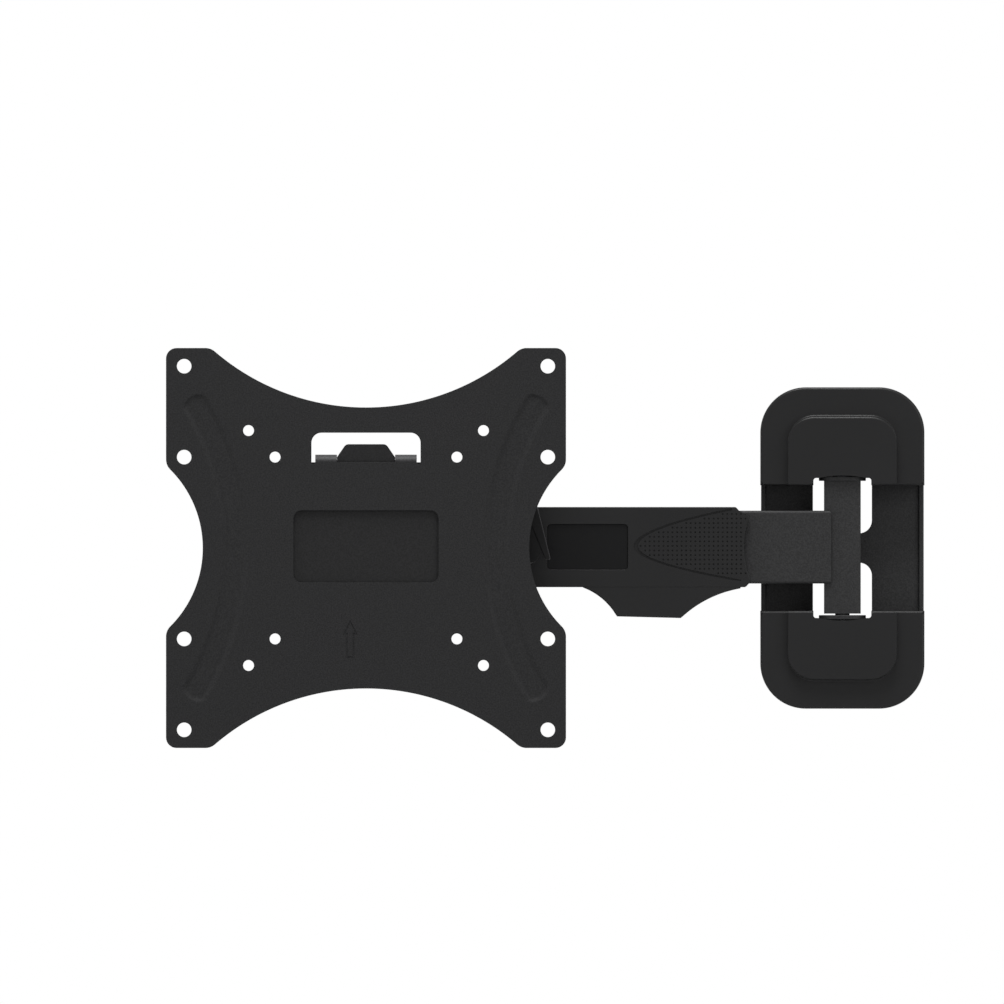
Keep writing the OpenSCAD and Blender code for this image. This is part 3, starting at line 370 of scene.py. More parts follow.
def wall(path, rows, relief=flat, closed=True):
    """A profile carried along a path.

    Each row of the profile is (inset, height, outward part and front part of the normal, share of
    the relief that it follows). Point = path + leftward step x inset; height = row's height plus
    its share of the relief there."""
    rows = np.asarray([tuple(r) + (1.0,) * (5 - len(r)) for r in rows], float)
    step, stretch = leftward(path, closed)
    flat_points = path[None] + (step * stretch[:, None])[None] * rows[:, None, None, 0]
    flat_points = flat_points.reshape(-1, 2)
    n = len(path)
    height = np.repeat(rows[:, 1], n) + np.repeat(rows[:, 4], n) * relief(flat_points)
    out = -np.tile(step, (len(rows), 1)) * np.repeat(rows[:, 2], n)[:, None]
    normals = np.column_stack([out, np.repeat(rows[:, 3], n)])
    k, j = np.meshgrid(np.arange(len(rows) - 1), np.arange(n if closed else n - 1), indexing="ij")
    k, j = k.ravel(), j.ravel()
    nxt = (j + 1) % n
    quads = np.column_stack([k * n + j, (k + 1) * n + j, (k + 1) * n + nxt, k * n + nxt])
    return np.column_stack([flat_points, height]), normals, quads


# %% Inside or outside
def inset_path(path, d, closed=True):
    """A path moved to its left by d."""
    step, stretch = leftward(path, closed)
    return path + step * (stretch * d)[:, None]


def inside(points, paths):
    """True for each point that an odd number of the paths' edges pass on its right.

    The points go through in groups, so that the table of points by edges stays small."""
    start = np.vstack(paths)
    stop = np.vstack([np.roll(p, -1, axis=0) for p in paths])
    run = stop - start
    run[run[:, 1] == 0, 1] = 1e-12
    odd = []
    for group in np.array_split(points, len(points) // 2000 + 1):
        x, z = group.T[:, :, None]
        passes = (start[:, 1] > z) != (stop[:, 1] > z)
        crossing = start[:, 0] + (z - start[:, 1]) * run[:, 0] / run[:, 1]
        odd.append((passes & (x < crossing)).sum(axis=1) % 2)
    return np.concatenate(odd) == 1


# %% Faces
def face(paths, height, relief=flat, loose=None, front=True):
    """The area between closed paths, filled with triangles, with loose points inside it.

    The triangles cover everything, and those whose middle lies outside the paths are dropped. The
    normal comes from the surface's two slopes, measured over 0.02 mm."""
    points = np.vstack([*paths] + ([loose] if loose is not None else []))
    sizes = np.array([len(p) for p in paths])
    first = np.cumsum(sizes) - sizes
    edges = [(int(f + i), int(f + (i + 1) % s)) for f, s in zip(first, sizes) for i in range(s)]
    found = delaunay_2d_cdt([Vector(p) for p in points.tolist()], edges, [], 0, 1e-7)
    flat_points = np.array([tuple(v) for v in found[0]])
    tris = np.array(found[2])
    tris = tris[inside(flat_points[tris].mean(axis=1), paths)]
    used, tris = np.unique(tris, return_inverse=True)
    flat_points, tris = flat_points[used], tris.reshape(-1, 3)
    a, b, c = (flat_points[tris[:, i]] for i in range(3))
    turn = (b - a)[:, 0] * (c - a)[:, 1] - (b - a)[:, 1] * (c - a)[:, 0]
    tris[turn < 0] = tris[turn < 0][:, ::-1]
    tris = tris[np.abs(turn) > 1e-9]
    h = 0.02
    slope_x = (relief(flat_points + [h, 0]) - relief(flat_points - [h, 0])) / (2 * h)
    slope_z = (relief(flat_points + [0, h]) - relief(flat_points - [0, h])) / (2 * h)
    normals = np.column_stack([-slope_x, -slope_z, np.ones(len(flat_points))])
    normals /= np.linalg.norm(normals, axis=1)[:, None]
    solid = np.column_stack([flat_points, height + relief(flat_points)])
    return (solid, normals, tris) if front else (solid, -normals, tris[:, ::-1])


# %% Profiles
def round_rows(inset, height, r, start, stop, n):
    """Profile rows on a circle round (inset, height).

    The normal turns evenly from one angle to the other: it faces the viewer at 0 degrees and
    outwards at 90. Point = centre + normal x r, and a negative r makes a hollow."""
    angle = np.radians(np.linspace(start, stop, n + 1))
    return [(inset - r * math.sin(t), height + r * math.cos(t), math.sin(t), math.cos(t))
            for t in angle]


def round_over(front, back, r, n=3):
    """The profile of a sheet's edge, rounded by r at the front and at the back."""
    return round_rows(r, front - r, r, 0, 90, n) + round_rows(r, back + r, r, 90, 180, n)


def straight(top, bottom):
    """The profile of a plain wall from one height to another."""
    return [(0, top, 1, 0), (0, bottom, 1, 0)]


# %% A sheet
def plate(paths, back, front, r, relief=flat, loose=None, sunk=()):
    """A sheet with rounded edges: an edge wall on each path, a front face and a back face.

    Paths in sunk are only cut into the front face."""
    rows = round_over(front, back, r)
    patches = [wall(p, rows, relief) for p in paths]
    inner = [inset_path(p, r) for p in paths]
    patches.append(face(inner + list(sunk), front, relief, loose))
    patches.append(face(inner, back, relief, loose, front=False))
    return patches


# %% [markdown]
# A bent bracket starts as a flat blank, and the press folds it. The next tool does the same: it
# leaves the blank alone up to the bend line, and rolls what lies beyond it along a path.


# %% Folding
def fold(patches, chosen, axis, start, sign, bends, middle):
    """Bends the chosen points of a blank out of its plane.

    axis is 0 for a fold in X and 1 for one in Z; start is the bend line, sign the side that
    folds, and middle the height of the sheet's neutral layer. Each bend is (length, turn in
    degrees), positive towards the back. The direction at distance s is the sum of the turns so
    far, and the place is the sum of all steps in that direction; a point off the neutral layer
    moves along the turned normal by its distance from the layer."""
    s_table = np.concatenate([[0.0], np.cumsum([b[0] for b in bends])])
    turn_table = np.radians(np.concatenate([[0.0], np.cumsum([b[1] for b in bends])]))
    fine = np.linspace(0, s_table[-1], 4001)
    angle = np.interp(fine, s_table, turn_table)
    step = np.diff(fine, prepend=0)
    mid_angle = np.concatenate([[0], (angle[1:] + angle[:-1]) / 2])
    along = np.cumsum(step * np.cos(mid_angle))
    drop = np.cumsum(step * np.sin(mid_angle))
    for points, normals, _ in patches:
        pick = chosen(points) & (sign * (points[:, axis] - start) > 0)
        s = np.clip(sign * (points[pick, axis] - start), 0, s_table[-1])
        turn = np.interp(s, fine, angle)
        off = points[pick, 2] - middle
        points[pick, axis] = start + sign * (np.interp(s, fine, along) + off * np.sin(turn))
        points[pick, 2] = middle - np.interp(s, fine, drop) + off * np.cos(turn)
        across, up = sign * normals[pick, axis], normals[pick, 2].copy()
        normals[pick, axis] = sign * (across * np.cos(turn) + up * np.sin(turn))
        normals[pick, 2] = -across * np.sin(turn) + up * np.cos(turn)
    return patches


# %% Turning a patch
def tipped(patches):
    """Turns patches that were drawn from above into the frame of a front drawing."""
    turn = np.array([[1, 0, 0], [0, 0, -1], [0, 1, 0]])
    return [(p @ turn, n @ turn, f) for p, n, f in patches]


def sideways(patches):
    """Turns patches that were drawn from the right side into the frame of a front drawing."""
    turn = np.array([[0, 0, -1], [0, 1, 0], [1, 0, 0]])
    return [(p @ turn, n @ turn, f) for p, n, f in patches]


def upside_down(patches):
    """The mirror image below the middle. Mirrored faces are run the other way."""
    return [(p * [1, -1, 1], n * [1, -1, 1], f[:, ::-1]) for p, n, f in patches]


# %% Putting patches together
# Where a drawing's X, Z and height go in the frame, for each side it can be drawn from.
PLACE = {
    "front": np.array([[1, 0, 0], [0, 0, 1], [0, -1, 0]]),
    "top": np.eye(3),
    "side": np.array([[0, 1, 0], [0, 0, 1], [1, 0, 0]]),
}
MM = 0.001
WELD, NUDGE = 3, 0.00037


def piece(name, patches, nodes, body, slot, view="front", origin=(0, 0, 0), look=None, painted_highlight=None):
    """Welds patches into one mesh, keeps each patch's normals, and stands for CAD nodes.

    Corners that agree to three places of a millimetre become one vertex; the nudge keeps round
    sizes away from the point where they would round either way. A triangle is stored as a quad
    with its last corner twice, and a corner that repeats the one before it is left out. The last
    argument is a finish and a test: a face takes that finish where the test holds for its first
    corner, which puts a painted highlight on the chosen faces."""
    points = np.vstack([p for p, _, _ in patches]) @ PLACE[view] + np.asarray(origin, float)
    normals = np.vstack([n for _, n, _ in patches]) @ PLACE[view]
    normals /= np.maximum(np.linalg.norm(normals, axis=1), 1e-9)[:, None]
    shift = np.cumsum([0] + [len(p) for p, _, _ in patches])
    corners = np.vstack([(f if f.shape[1] == 4 else f[:, [0, 1, 2, 2]]) + k
                         for (_, _, f), k in zip(patches, shift)])
    _, keep, weld = np.unique(np.round(points + NUDGE, WELD), axis=0, return_index=True,
                              return_inverse=True)
    vertex = weld.ravel()[corners]
    real = vertex != np.roll(vertex, 1, axis=1)
    whole = real.sum(axis=1) > 2
    whole &= (vertex[:, 0] != vertex[:, 2]) & (vertex[:, 1] != vertex[:, 3])
    vertex, corners, real = vertex[whole], corners[whole], real[whole]
    total = real.sum(axis=1)
    mesh = bpy.data.meshes.new(name)
    mesh.vertices.add(len(keep))
    mesh.vertices.foreach_set("co", (points[keep] * MM).ravel())
    mesh.loops.add(int(total.sum()))
    mesh.loops.foreach_set("vertex_index", vertex[real].astype(np.int32))
    mesh.polygons.add(len(total))
    mesh.polygons.foreach_set("loop_start", (np.cumsum(total) - total).astype(np.int32))
    mesh.update(calc_edges=True)
    mesh.shade_smooth()
    corner_normals = normals[corners[real]]
    mark_sharp(mesh, corner_normals)
    mesh.normals_split_custom_set(corner_normals.tolist())
    mesh.materials.append(FINISH[look or slot])
    # The second finish is a painted highlight on the faces that the test picks.
    if painted_highlight:
        mesh.materials.append(FINISH[painted_highlight[0]])
        first = corners[:, 0]
        wear_and_highlight = painted_highlight[1](points[first] - origin, normals[first])
        mesh.polygons.foreach_set("material_index", wear_and_highlight.astype(np.int32))
    obj = bpy.data.objects.new(name, mesh)
    bpy.context.collection.objects.link(obj)
    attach(obj, body)
    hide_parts(*nodes)
    size = np.ptp(points, axis=0).round(1)
    print(f"{name}: {len(mesh.vertices)} vertices, {len(mesh.polygons)} faces, {size} mm")


# %% Sharp edges
def mark_sharp(mesh, corner_normals):
    """Marks each edge whose two faces give its ends normals that differ by over 4 degrees."""
    count = len(mesh.loops)
    vertex, edge = np.empty(count, int), np.empty(count, int)
    mesh.loops.foreach_get("vertex_index", vertex)
    mesh.loops.foreach_get("edge_index", edge)
    total = np.empty(len(mesh.polygons), int)
    start = np.empty(len(mesh.polygons), int)
    mesh.polygons.foreach_get("loop_total", total)
    mesh.polygons.foreach_get("loop_start", start)
    nxt = np.arange(count) + 1
    nxt[start + total - 1] = start
    ends = np.column_stack([vertex, vertex[nxt]])
    flip = ends[:, 0] > ends[:, 1]
    both = np.stack([corner_normals, corner_normals[nxt]], axis=1)
    both[flip] = both[flip][:, ::-1]
    order = np.argsort(edge, kind="stable")
    same = edge[order][1:] == edge[order][:-1]
    a, b = both[order][:-1][same], both[order][1:][same]
    apart = ((a * b).sum(axis=2) < math.cos(math.radians(4))).any(axis=1)
    sharp = np.zeros(len(mesh.edges), bool)
    sharp[edge[order][1:][same][apart]] = True
    mesh.edges.foreach_set("use_edge_sharp", sharp)


# %% Measures in millimetres, and a soft step
def in_mm(node):
    """The lowest and highest corner of a solid, in millimetres."""
    low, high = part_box(node)
    return np.array(low) / MM, np.array(high) / MM


def clipped(t):
    """Rises smoothly from 0 to 1 as t goes from 0 to 1: 3t^2 - 2t^3."""
    t = np.clip(t, 0, 1)
    return t * t * (3 - 2 * t)


# %% [markdown]
# ## The plate for the screen
#
# The real plate is punched from 2 mm steel: arcs are bitten out of its edges, a curved bead is
# pressed into each side to stiffen it, and two tongues in the slot are bent back and down as hooks.
# The blank is drawn flat with the tongues standing up in their slot, the beads are added as a
# relief that both faces share, and the tongues are folded last, as in the press shop.

# %% Outline of the screen plate
tv_low, tv_high = in_mm("tv_plate")
HEAD_X = (tv_low[0] + tv_high[0]) / 2
TV_HALF = (tv_high[0] - tv_low[0]) / 2
TV_FRONT = -tv_low[1]
TV_T, TV_R, TV_EDGE, SHOULDER = 2.0, 5.8, 0.2, 8.0
# Each bite is an arc: its radius, and how near it comes to the plate's middle.
TOP_BITE = (127.6, 77.3)
SIDE_BITE = (60.9, 89.8)


def bitten_corner():
    """A quarter of the outline: side curve, shoulder, corner, shoulder, top curve.

    A shoulder is a circle that touches the straight edge and the curve: its centre is one radius
    inside the edge, and as far from the curve's centre as the two radii together."""
    side_c = sum(SIDE_BITE)
    top_c = sum(TOP_BITE)
    inner = TV_HALF - SHOULDER
    side_z = math.sqrt((SIDE_BITE[0] + SHOULDER) ** 2 - (side_c - inner) ** 2)
    top_x = math.sqrt((TOP_BITE[0] + SHOULDER) ** 2 - (top_c - inner) ** 2)
    side_a = math.degrees(math.atan2(side_z, side_c - inner))
    top_a = math.degrees(math.atan2(top_c - inner, top_x))
    return joined(
        arc(side_c, 0, SIDE_BITE[0], 180, 180 - side_a, 30),
        arc(inner, side_z, SHOULDER, -side_a, 0, 8),
        arc(TV_HALF - TV_R, TV_HALF - TV_R, TV_R, 0, 90, 8),
        arc(top_x, inner, SHOULDER, 90, 180 - top_a, 8),
        arc(0, top_c, TOP_BITE[0], -top_a, -90, 60))


tv_outline = filled_in(four_fold(bitten_corner()), 4)
print(f"screen plate: {2 * TV_HALF:.1f} mm square, {len(tv_outline)} points round it")

# %% Holes, window and slot
SLOT_Z, SLOT_TOP, SLOT_HALF, SLOT_R = 47.2, 63.4, 30.0, 5.5
HOOK_IN, HOOK_OUT = 16.0, 27.9
# The press rolls each tongue back, then down, and leaves its end straight: (length, turn).
HOOK_BENDS = [(3.15 * math.pi / 2, 90), (0.5, 0), (2.0 * math.pi / 2, 90), (5.2, 0)]
WINDOW, WINDOW_R = (-39.9, -19.0, 39.9, 20.65), 4.5
# Half width, half height and radius: three patterns for displays, and one on the diagonals.
HOLE_PATTERNS = ((100, 100, 4), (100, 50, 4), (50, 50, 3), (64.6, 64.6, 3))

hook_top = SLOT_Z + sum(length for length, _ in HOOK_BENDS)
relief_x, relief_r = (SLOT_HALF + HOOK_OUT) / 2, (SLOT_HALF - HOOK_OUT) / 2
right_half = joined(
    [0, SLOT_Z], [HOOK_IN, SLOT_Z],
    line([HOOK_IN, SLOT_Z], [HOOK_IN, hook_top], 0.4),
    line([HOOK_OUT, hook_top], [HOOK_OUT, SLOT_Z], 0.4),
    arc(relief_x, SLOT_Z, relief_r, 180, 360, 8),
    arc(SLOT_HALF - SLOT_R, SLOT_TOP - SLOT_R, SLOT_R, 0, 90, 8), [0, SLOT_TOP])[:-1]
slot = filled_in(joined(right_half, mirrored(right_half[1:])), 3)[::-1]
window = round_box(*WINDOW, WINDOW_R)[::-1]
tv_holes = [ring(x * half_w, z * half_h, r) for x in (-1, 1) for z in (-1, 1)
            for half_w, half_h, r in HOLE_PATTERNS]
print(len(tv_holes), "holes, and hooks", HOOK_OUT - HOOK_IN, "mm wide")

# %% Beads and their relief
# The middle line is an arc: radius, least distance from the middle, half its height.
BEAD_R, BEAD_X, BEAD_HALF = 152.7, 71.9, 79.2
# Half the floor, half the whole width, the depth, and how much steeper the ends are.
BEAD_FLOOR, BEAD_W, BEAD_DEPTH, BLUNT = 4.3, 7.9, 0.85, 1.25

bead_turn = math.asin(BEAD_HALF / BEAD_R)
bead_c = BEAD_X + BEAD_R


def bead_relief(points):
    """Minus the bead's depth in its flat floor, rising to nothing at its edge.

    The distance is from an arc. Beyond the arc's ends it is from its end points, and the part
    along the arc counts BLUNT times, which makes the ends steeper."""
    x, z = bead_c - np.abs(points[:, 0]), points[:, 1]
    whole = np.arctan2(z, x)
    angle = np.clip(whole, -bead_turn, bead_turn)
    away = np.hypot(x - BEAD_R * np.cos(angle), z - BEAD_R * np.sin(angle))
    away = np.hypot(away, BLUNT * BEAD_R * (whole - angle))
    return -BEAD_DEPTH * (1 - clipped((away - BEAD_FLOOR) / (BEAD_W - BEAD_FLOOR)))


# %% Loose points, close together where a bead's wall rises and where a hook bends
on_wall = np.array([4.2, 4.6, 5.0, 5.4, 5.8, 6.2, 6.6, 7.0, 7.4, 7.8, 8.2])
across = np.concatenate([-on_wall[::-1], [-2, 0, 2], on_wall])
angle, radius = grid(np.linspace(-bead_turn, bead_turn, 84), BEAD_R + across).T
run = np.column_stack([bead_c - radius * np.cos(angle), radius * np.sin(angle)])
radius, angle = grid(across[across > 0], np.radians(np.linspace(10, 170, 17))).T
cap = np.column_stack([radius * np.cos(angle), radius * np.sin(angle)])
tip = np.array([bead_c - BEAD_R * math.cos(bead_turn), BEAD_HALF])
c, s = math.cos(bead_turn), math.sin(bead_turn)
cap = tip + cap @ np.array([[c, -s], [s, c]])
on_hooks = grid(np.linspace(HOOK_IN + 1.2, HOOK_OUT - 1.2, 5),
                np.arange(SLOT_Z - 1, hook_top - 0.6, 0.4))
half = np.vstack([run, cap, cap * [1, -1], on_hooks])
loose = np.vstack([half, half * [-1, 1]])
print(len(loose), "loose points")

# %% The arrow
ARROW_DEPTH, ARROW_LINE = 0.25, 0.85
arrow = np.array([[-8.7, -39.7], [-12.7, -47.5], [-11.05, -47.5], [-11.05, -60.5], [-6.45, -60.5],
                  [-6.45, -47.5], [-4.7, -47.5]])
arrow_in = inset_path(arrow, ARROW_LINE)
arrow_cut = arrow[::-1]
arrow_floor = TV_FRONT - ARROW_DEPTH
print("an arrow with", len(arrow), "corners")


# %% Build the screen plate
def in_hook(x, margin):
    """True between the two sides of a hook, give or take a margin."""
    return (np.abs(x) > HOOK_IN - margin) & (np.abs(x) < HOOK_OUT + margin)


patches = plate([tv_outline, slot, window] + tv_holes, TV_FRONT - TV_T, TV_FRONT, TV_EDGE,
                bead_relief, loose, sunk=[arrow_cut, arrow_in])
patches += [wall(path, straight(TV_FRONT, arrow_floor)) for path in (arrow_cut, arrow_in)]
patches.append(face([arrow, arrow_in], arrow_floor))
fold(patches, lambda p: in_hook(p[:, 0], 0.01) & (p[:, 1] > SLOT_Z) & (p[:, 1] < hook_top + 0.1),
     1, SLOT_Z, 1, HOOK_BENDS, TV_FRONT - TV_T / 2)
# The hooks' bends get a painted highlight that grows lighter as they lean up.
piece("screen_plate_skin", patches, ["tv_plate"], "screen_plate", "plate_steel",
      origin=(HEAD_X, 0, 0),
      painted_highlight=("hook_steel_painted_highlight", lambda p, n: in_hook(p[:, 0], 0.1) & (p[:, 2] > SLOT_Z + 0.05)
              & (p[:, 2] < SLOT_TOP - 1)))

# %% [markdown]
# ## The head plate
#
# This plate carries the screen plate: the hooks sit on its top edge, and its lug shows in the slot.
# It is a flat sheet with no bends, so its outline and one rounded edge profile are all it needs.

# %% Build the head plate
head_low, head_high = in_mm("head_plate")
HEAD_HALF, HEAD_R, HEAD_EDGE, HEAD_TOP = 45.0, 6.0, 0.25, SLOT_Z - 0.05
# The seat under the hooks stands a little higher; the lug rises from it and narrows upwards.
SEAT_HALF, SEAT_TOP = 27.4, SLOT_Z + 1.2
LUG_FOOT_HALF, LUG_HALF, LUG_FOOT, LUG_R = 15.95, 11.1, SLOT_Z + 2.8, 3.0
LOCK_HOLES, LOCK_HOLE_R = ((-30, -47.5), (30, -47.5)), 2.5

lug_top = head_high[2]
lean = math.atan2(lug_top - LUG_FOOT, LUG_FOOT_HALF - LUG_HALF)
touch = LUG_R * math.tan(lean / 2)
right = joined(
    arc(HEAD_HALF - HEAD_R, head_low[2] + HEAD_R, HEAD_R, 270, 360, 8),
    arc(HEAD_HALF - HEAD_R, HEAD_TOP - HEAD_R, HEAD_R, 0, 90, 8),
    [SEAT_HALF, HEAD_TOP], [SEAT_HALF, SEAT_TOP], [LUG_FOOT_HALF, SEAT_TOP],
    [LUG_FOOT_HALF, LUG_FOOT],
    arc(LUG_HALF - touch, lug_top - LUG_R, LUG_R, 90 - math.degrees(lean), 90, 6))
outline = filled_in(joined(right, mirrored(right)), 4)
patches = plate([outline] + [ring(x, z, LOCK_HOLE_R, 20) for x, z in LOCK_HOLES],
                -head_high[1], -head_low[1], HEAD_EDGE)
# The head plate takes a darker copy of the plate steel: painted shade.
piece("head_plate_skin", patches, ["head_plate"], "screen_plate", "plate_steel",
      origin=(HEAD_X, 0, 0), look="head_steel_painted_shade")

# %% [markdown]
# ## The wall plate
#
# The wall plate is a pressed tray with a raised rim. Two tongues are cut free inside its windows
# and bent forward, and the arm's knuckle turns between them. The rim is a profile carried round the
# outline, the web is a face with holes, and the tongues are folded like the hooks.

# %% Profile of the tray's rim, from the web outwards
wall_low, wall_high = in_mm("wall_plate")
WEB_T, RIM_W, RIM_H = 2.5, 2.7, 5.0
FOOT_R, RIM_IN_R, RIM_OUT_R, SHEET_EDGE = 0.8, 0.6, 0.9, 0.4
rim_rows = (round_rows(RIM_W + FOOT_R, WEB_T + FOOT_R, -FOOT_R, 0, -90, 4)
            + round_rows(RIM_W - RIM_IN_R, RIM_H - RIM_IN_R, RIM_IN_R, -90, 0, 4)
            + round_rows(RIM_OUT_R, RIM_H - RIM_OUT_R, RIM_OUT_R, 0, 90, 4)
            + round_rows(SHEET_EDGE, SHEET_EDGE, SHEET_EDGE, 90, 180, 4))
print(len(rim_rows), "rows in the rim's profile")

# %% Web, windows and tongues
WIN_HALF, WIN_LOW, WIN_TOP, WIN_TOP_R = 16.2, 8.1, 41.4, 1.5
# Above FINE_TO, where it bends, a tongue's sides have points close together.
TAB_HALF, TAB_LENGTH, TAB_R, PIN_AT, FINE_TO = 12.95, 27.0, 7.0, 15.5, 36.0
BEND_Z, BEND_ARC = 40.4, 2.25 * math.pi / 2
WALL_HOLE_R, PIN_HOLE_R = 4.0, 3.1
WALL_HOLES = [(x, z) for x in (-25, 25) for z in (-62, 62)] + [(0, -73), (0, 73)]

tab_end = BEND_Z - BEND_ARC - TAB_LENGTH
pin_z = BEND_Z - BEND_ARC - PIN_AT
right = joined(
    [0, WIN_LOW], arc(WIN_HALF - TAB_R, WIN_LOW + TAB_R, TAB_R, 270, 360, 8),
    arc(WIN_HALF - WIN_TOP_R, WIN_TOP - WIN_TOP_R, WIN_TOP_R, 0, 90, 4),
    line([TAB_HALF, WIN_TOP], [TAB_HALF, FINE_TO], 0.45),
    arc(TAB_HALF - TAB_R, tab_end + TAB_R, TAB_R, 360, 270, 8), [0, tab_end])[:-1]
upper_window = joined(right, [0, tab_end], mirrored(right)[:-1])[::-1]
lower_window = (upper_window * [1, -1])[::-1]
web_holes = [ring(x, z, WALL_HOLE_R) for x, z in WALL_HOLES]
web_holes += [ring(0, z, PIN_HOLE_R, 24) for z in (-pin_z, pin_z)]
bend_points = grid(np.linspace(-11, 11, 9), np.arange(BEND_Z - BEND_ARC - 1, BEND_Z + 1, 0.45))
bend_points = np.vstack([bend_points, bend_points * [1, -1]])
print(len(web_holes), "holes in the web, tongues", 2 * TAB_HALF, "mm wide")

# %% Build the wall plate
TRAY_R, REST_OF_TAB = 24.6, 40
tray = round_box(wall_low[0], wall_low[2], wall_high[0], wall_high[2], TRAY_R, 20)
openings = [upper_window, lower_window] + web_holes
inner = [inset_path(p, SHEET_EDGE) for p in openings]
patches = [wall(tray, rim_rows)] + [wall(p, round_over(WEB_T, 0, SHEET_EDGE)) for p in openings]
patches += [
    face([inset_path(tray, rim_rows[0][0])] + inner, WEB_T, loose=bend_points),
    face([inset_path(tray, rim_rows[-1][0])] + inner, 0, loose=bend_points, front=False)]
for side in (1, -1):
    fold(patches, lambda p: (np.abs(p[:, 0]) < TAB_HALF + 0.01) & (side * p[:, 1] < BEND_Z)
         & (side * p[:, 1] > tab_end - 0.1),
         1, side * BEND_Z, -side, [(BEND_ARC, -90), (REST_OF_TAB, 0)], WEB_T / 2)
# The wall plate takes a lighter copy of the coated steel: painted light.
piece("wall_plate_skin", patches, ["wall_plate"], "wall_bracket", "coated_steel",
      look="tray_steel_painted_light")

# %% [markdown]
# ## The wall covers
#
# Each cover is a moulded shell, two millimetres thick, that caps one half of the tray. A raised
# panel makes room for the pivot. The outline is an open path, because the shell has a notch where
# the tongue comes through: one profile goes round it, over the back edge, and up the inside.
# The panel is a relief of the front face, with a short ramp at its sides and a longer one on top.

# %% Relief of the raised panel
cover_low, cover_high = in_mm("upper_cover")
COVER_R, COVER_WALL, COVER_EDGE = 25.0, 2.0, 1.5
COVER_FRONT, COVER_BACK, COVER_FOOT = 27.0, 5.0, cover_low[2]
PANEL_HALF, PANEL_TOP, PANEL_R, PANEL_STEP = 30.0, 73.5, 15.0, 6.0
SIDE_RAMP, TOP_RAMP, FOOT_SHARE = 0.5, 2.6, 0.4
CUT_HALF, CUT_TOP, CUT_R, ARCH_HALF, ARCH_RISE = 15.9, 38.5, 1.5, 12.95, 1.4


def ramp_width(upward):
    """The width of the panel's step grows with the square of the share that points up."""
    return SIDE_RAMP + (TOP_RAMP - SIDE_RAMP) * upward ** 2


def panel_relief(points):
    """How far the raised panel stands above the cover.

    The distance inside the panel's rounded outline is measured first. The foot of the step is a
    hollow arc over FOOT_SHARE of its width, and its brow a round one over the rest: an arc of
    radius r rises by r - sqrt(r^2 - d^2) at the distance d from where it starts."""
    x = np.abs(points[:, 0]) - (PANEL_HALF - PANEL_R)
    z = points[:, 1] - (PANEL_TOP - PANEL_R)
    corner = np.hypot(np.maximum(x, 0), np.maximum(z, 0))
    inward = PANEL_R - np.where((x > 0) | (z > 0), corner, np.maximum(x, z))
    width = ramp_width(np.maximum(z, 0) / np.maximum(corner, 1e-6))
    foot, brow = FOOT_SHARE * width, (1 - FOOT_SHARE) * width
    start = np.clip(inward, 0, foot)
    rest = np.clip(width - inward, 0, brow)
    low = foot - np.sqrt(foot ** 2 - start ** 2)
    high = PANEL_STEP - brow + np.sqrt(brow ** 2 - rest ** 2)
    return np.where(inward < foot, low, high)


# %% Outline and notch
# The steps across the panel's ramp, as shares of its width, lie closest where the slope turns.
SHARES = np.array([-0.05, 0.1, 0.2, 0.28, 0.34, 0.38, 0.395, 0.405, 0.42, 0.46, 0.52, 0.6, 0.7,
                   0.8, 0.9, 1.02])
cover_half, notch_foot = cover_high[0], COVER_FOOT + COVER_WALL
at_ramp = np.column_stack([PANEL_HALF - SIDE_RAMP * SHARES[::-1],
                           np.full(len(SHARES), COVER_FOOT)])
right = joined([CUT_HALF, COVER_FOOT], at_ramp, [cover_half, COVER_FOOT],
               arc(cover_half - COVER_R, cover_high[2] - COVER_R, COVER_R, 0, 90, 24))
shell_path = filled_in(np.vstack([right, mirrored(right)]), 0.9, closed=False)
arch_r = (ARCH_HALF ** 2 + ARCH_RISE ** 2) / (2 * ARCH_RISE)
arch_a = math.degrees(math.asin(ARCH_HALF / arch_r))
notch = joined(
    arc(CUT_HALF - CUT_R, CUT_TOP - CUT_R, CUT_R, 0, 90, 6),
    arc(0, CUT_TOP + ARCH_RISE - arch_r, arch_r, 90 - arch_a, 90 + arch_a, 24),
    arc(-CUT_HALF + CUT_R, CUT_TOP - CUT_R, CUT_R, 90, 180, 6))[::-1]
print("shell path:", len(shell_path), "points; notch:", len(notch))

# %% Loose points on the panel's ramp
ramp = []
angle = np.radians(np.linspace(0, 90, 41))
for share in SHARES:
    r = PANEL_R - share * ramp_width(np.sin(angle))
    bow = np.column_stack([PANEL_HALF - PANEL_R + r * np.cos(angle),
                           PANEL_TOP - PANEL_R + r * np.sin(angle)])
    side = line([PANEL_HALF - SIDE_RAMP * share, notch_foot + 0.4], bow[0], 1.6)
    brow = line(bow[-1], [0.6, PANEL_TOP - TOP_RAMP * share], 1.6)
    ramp += [side[:-1], bow, brow[1:]]
ramp = np.vstack(ramp)
ramp = np.vstack([ramp, ramp * [-1, 1]])
ramp = ramp[(ramp[:, 1] > notch_foot + 0.2) & (np.abs(ramp[:, 0]) < cover_half - 3)]
print(len(ramp), "loose points on the ramp")

# %% Build one cover as patches
CLIP = np.array([[40.4, -7.3], [43.6, -7.3], [43.6, -5.3], [42, -5.3], [42, -2.8], [40.4, -2.8]])
CLIPS_AT, CLIP_LENGTH, BACK_EDGE = (10, 24), 8, 0.3


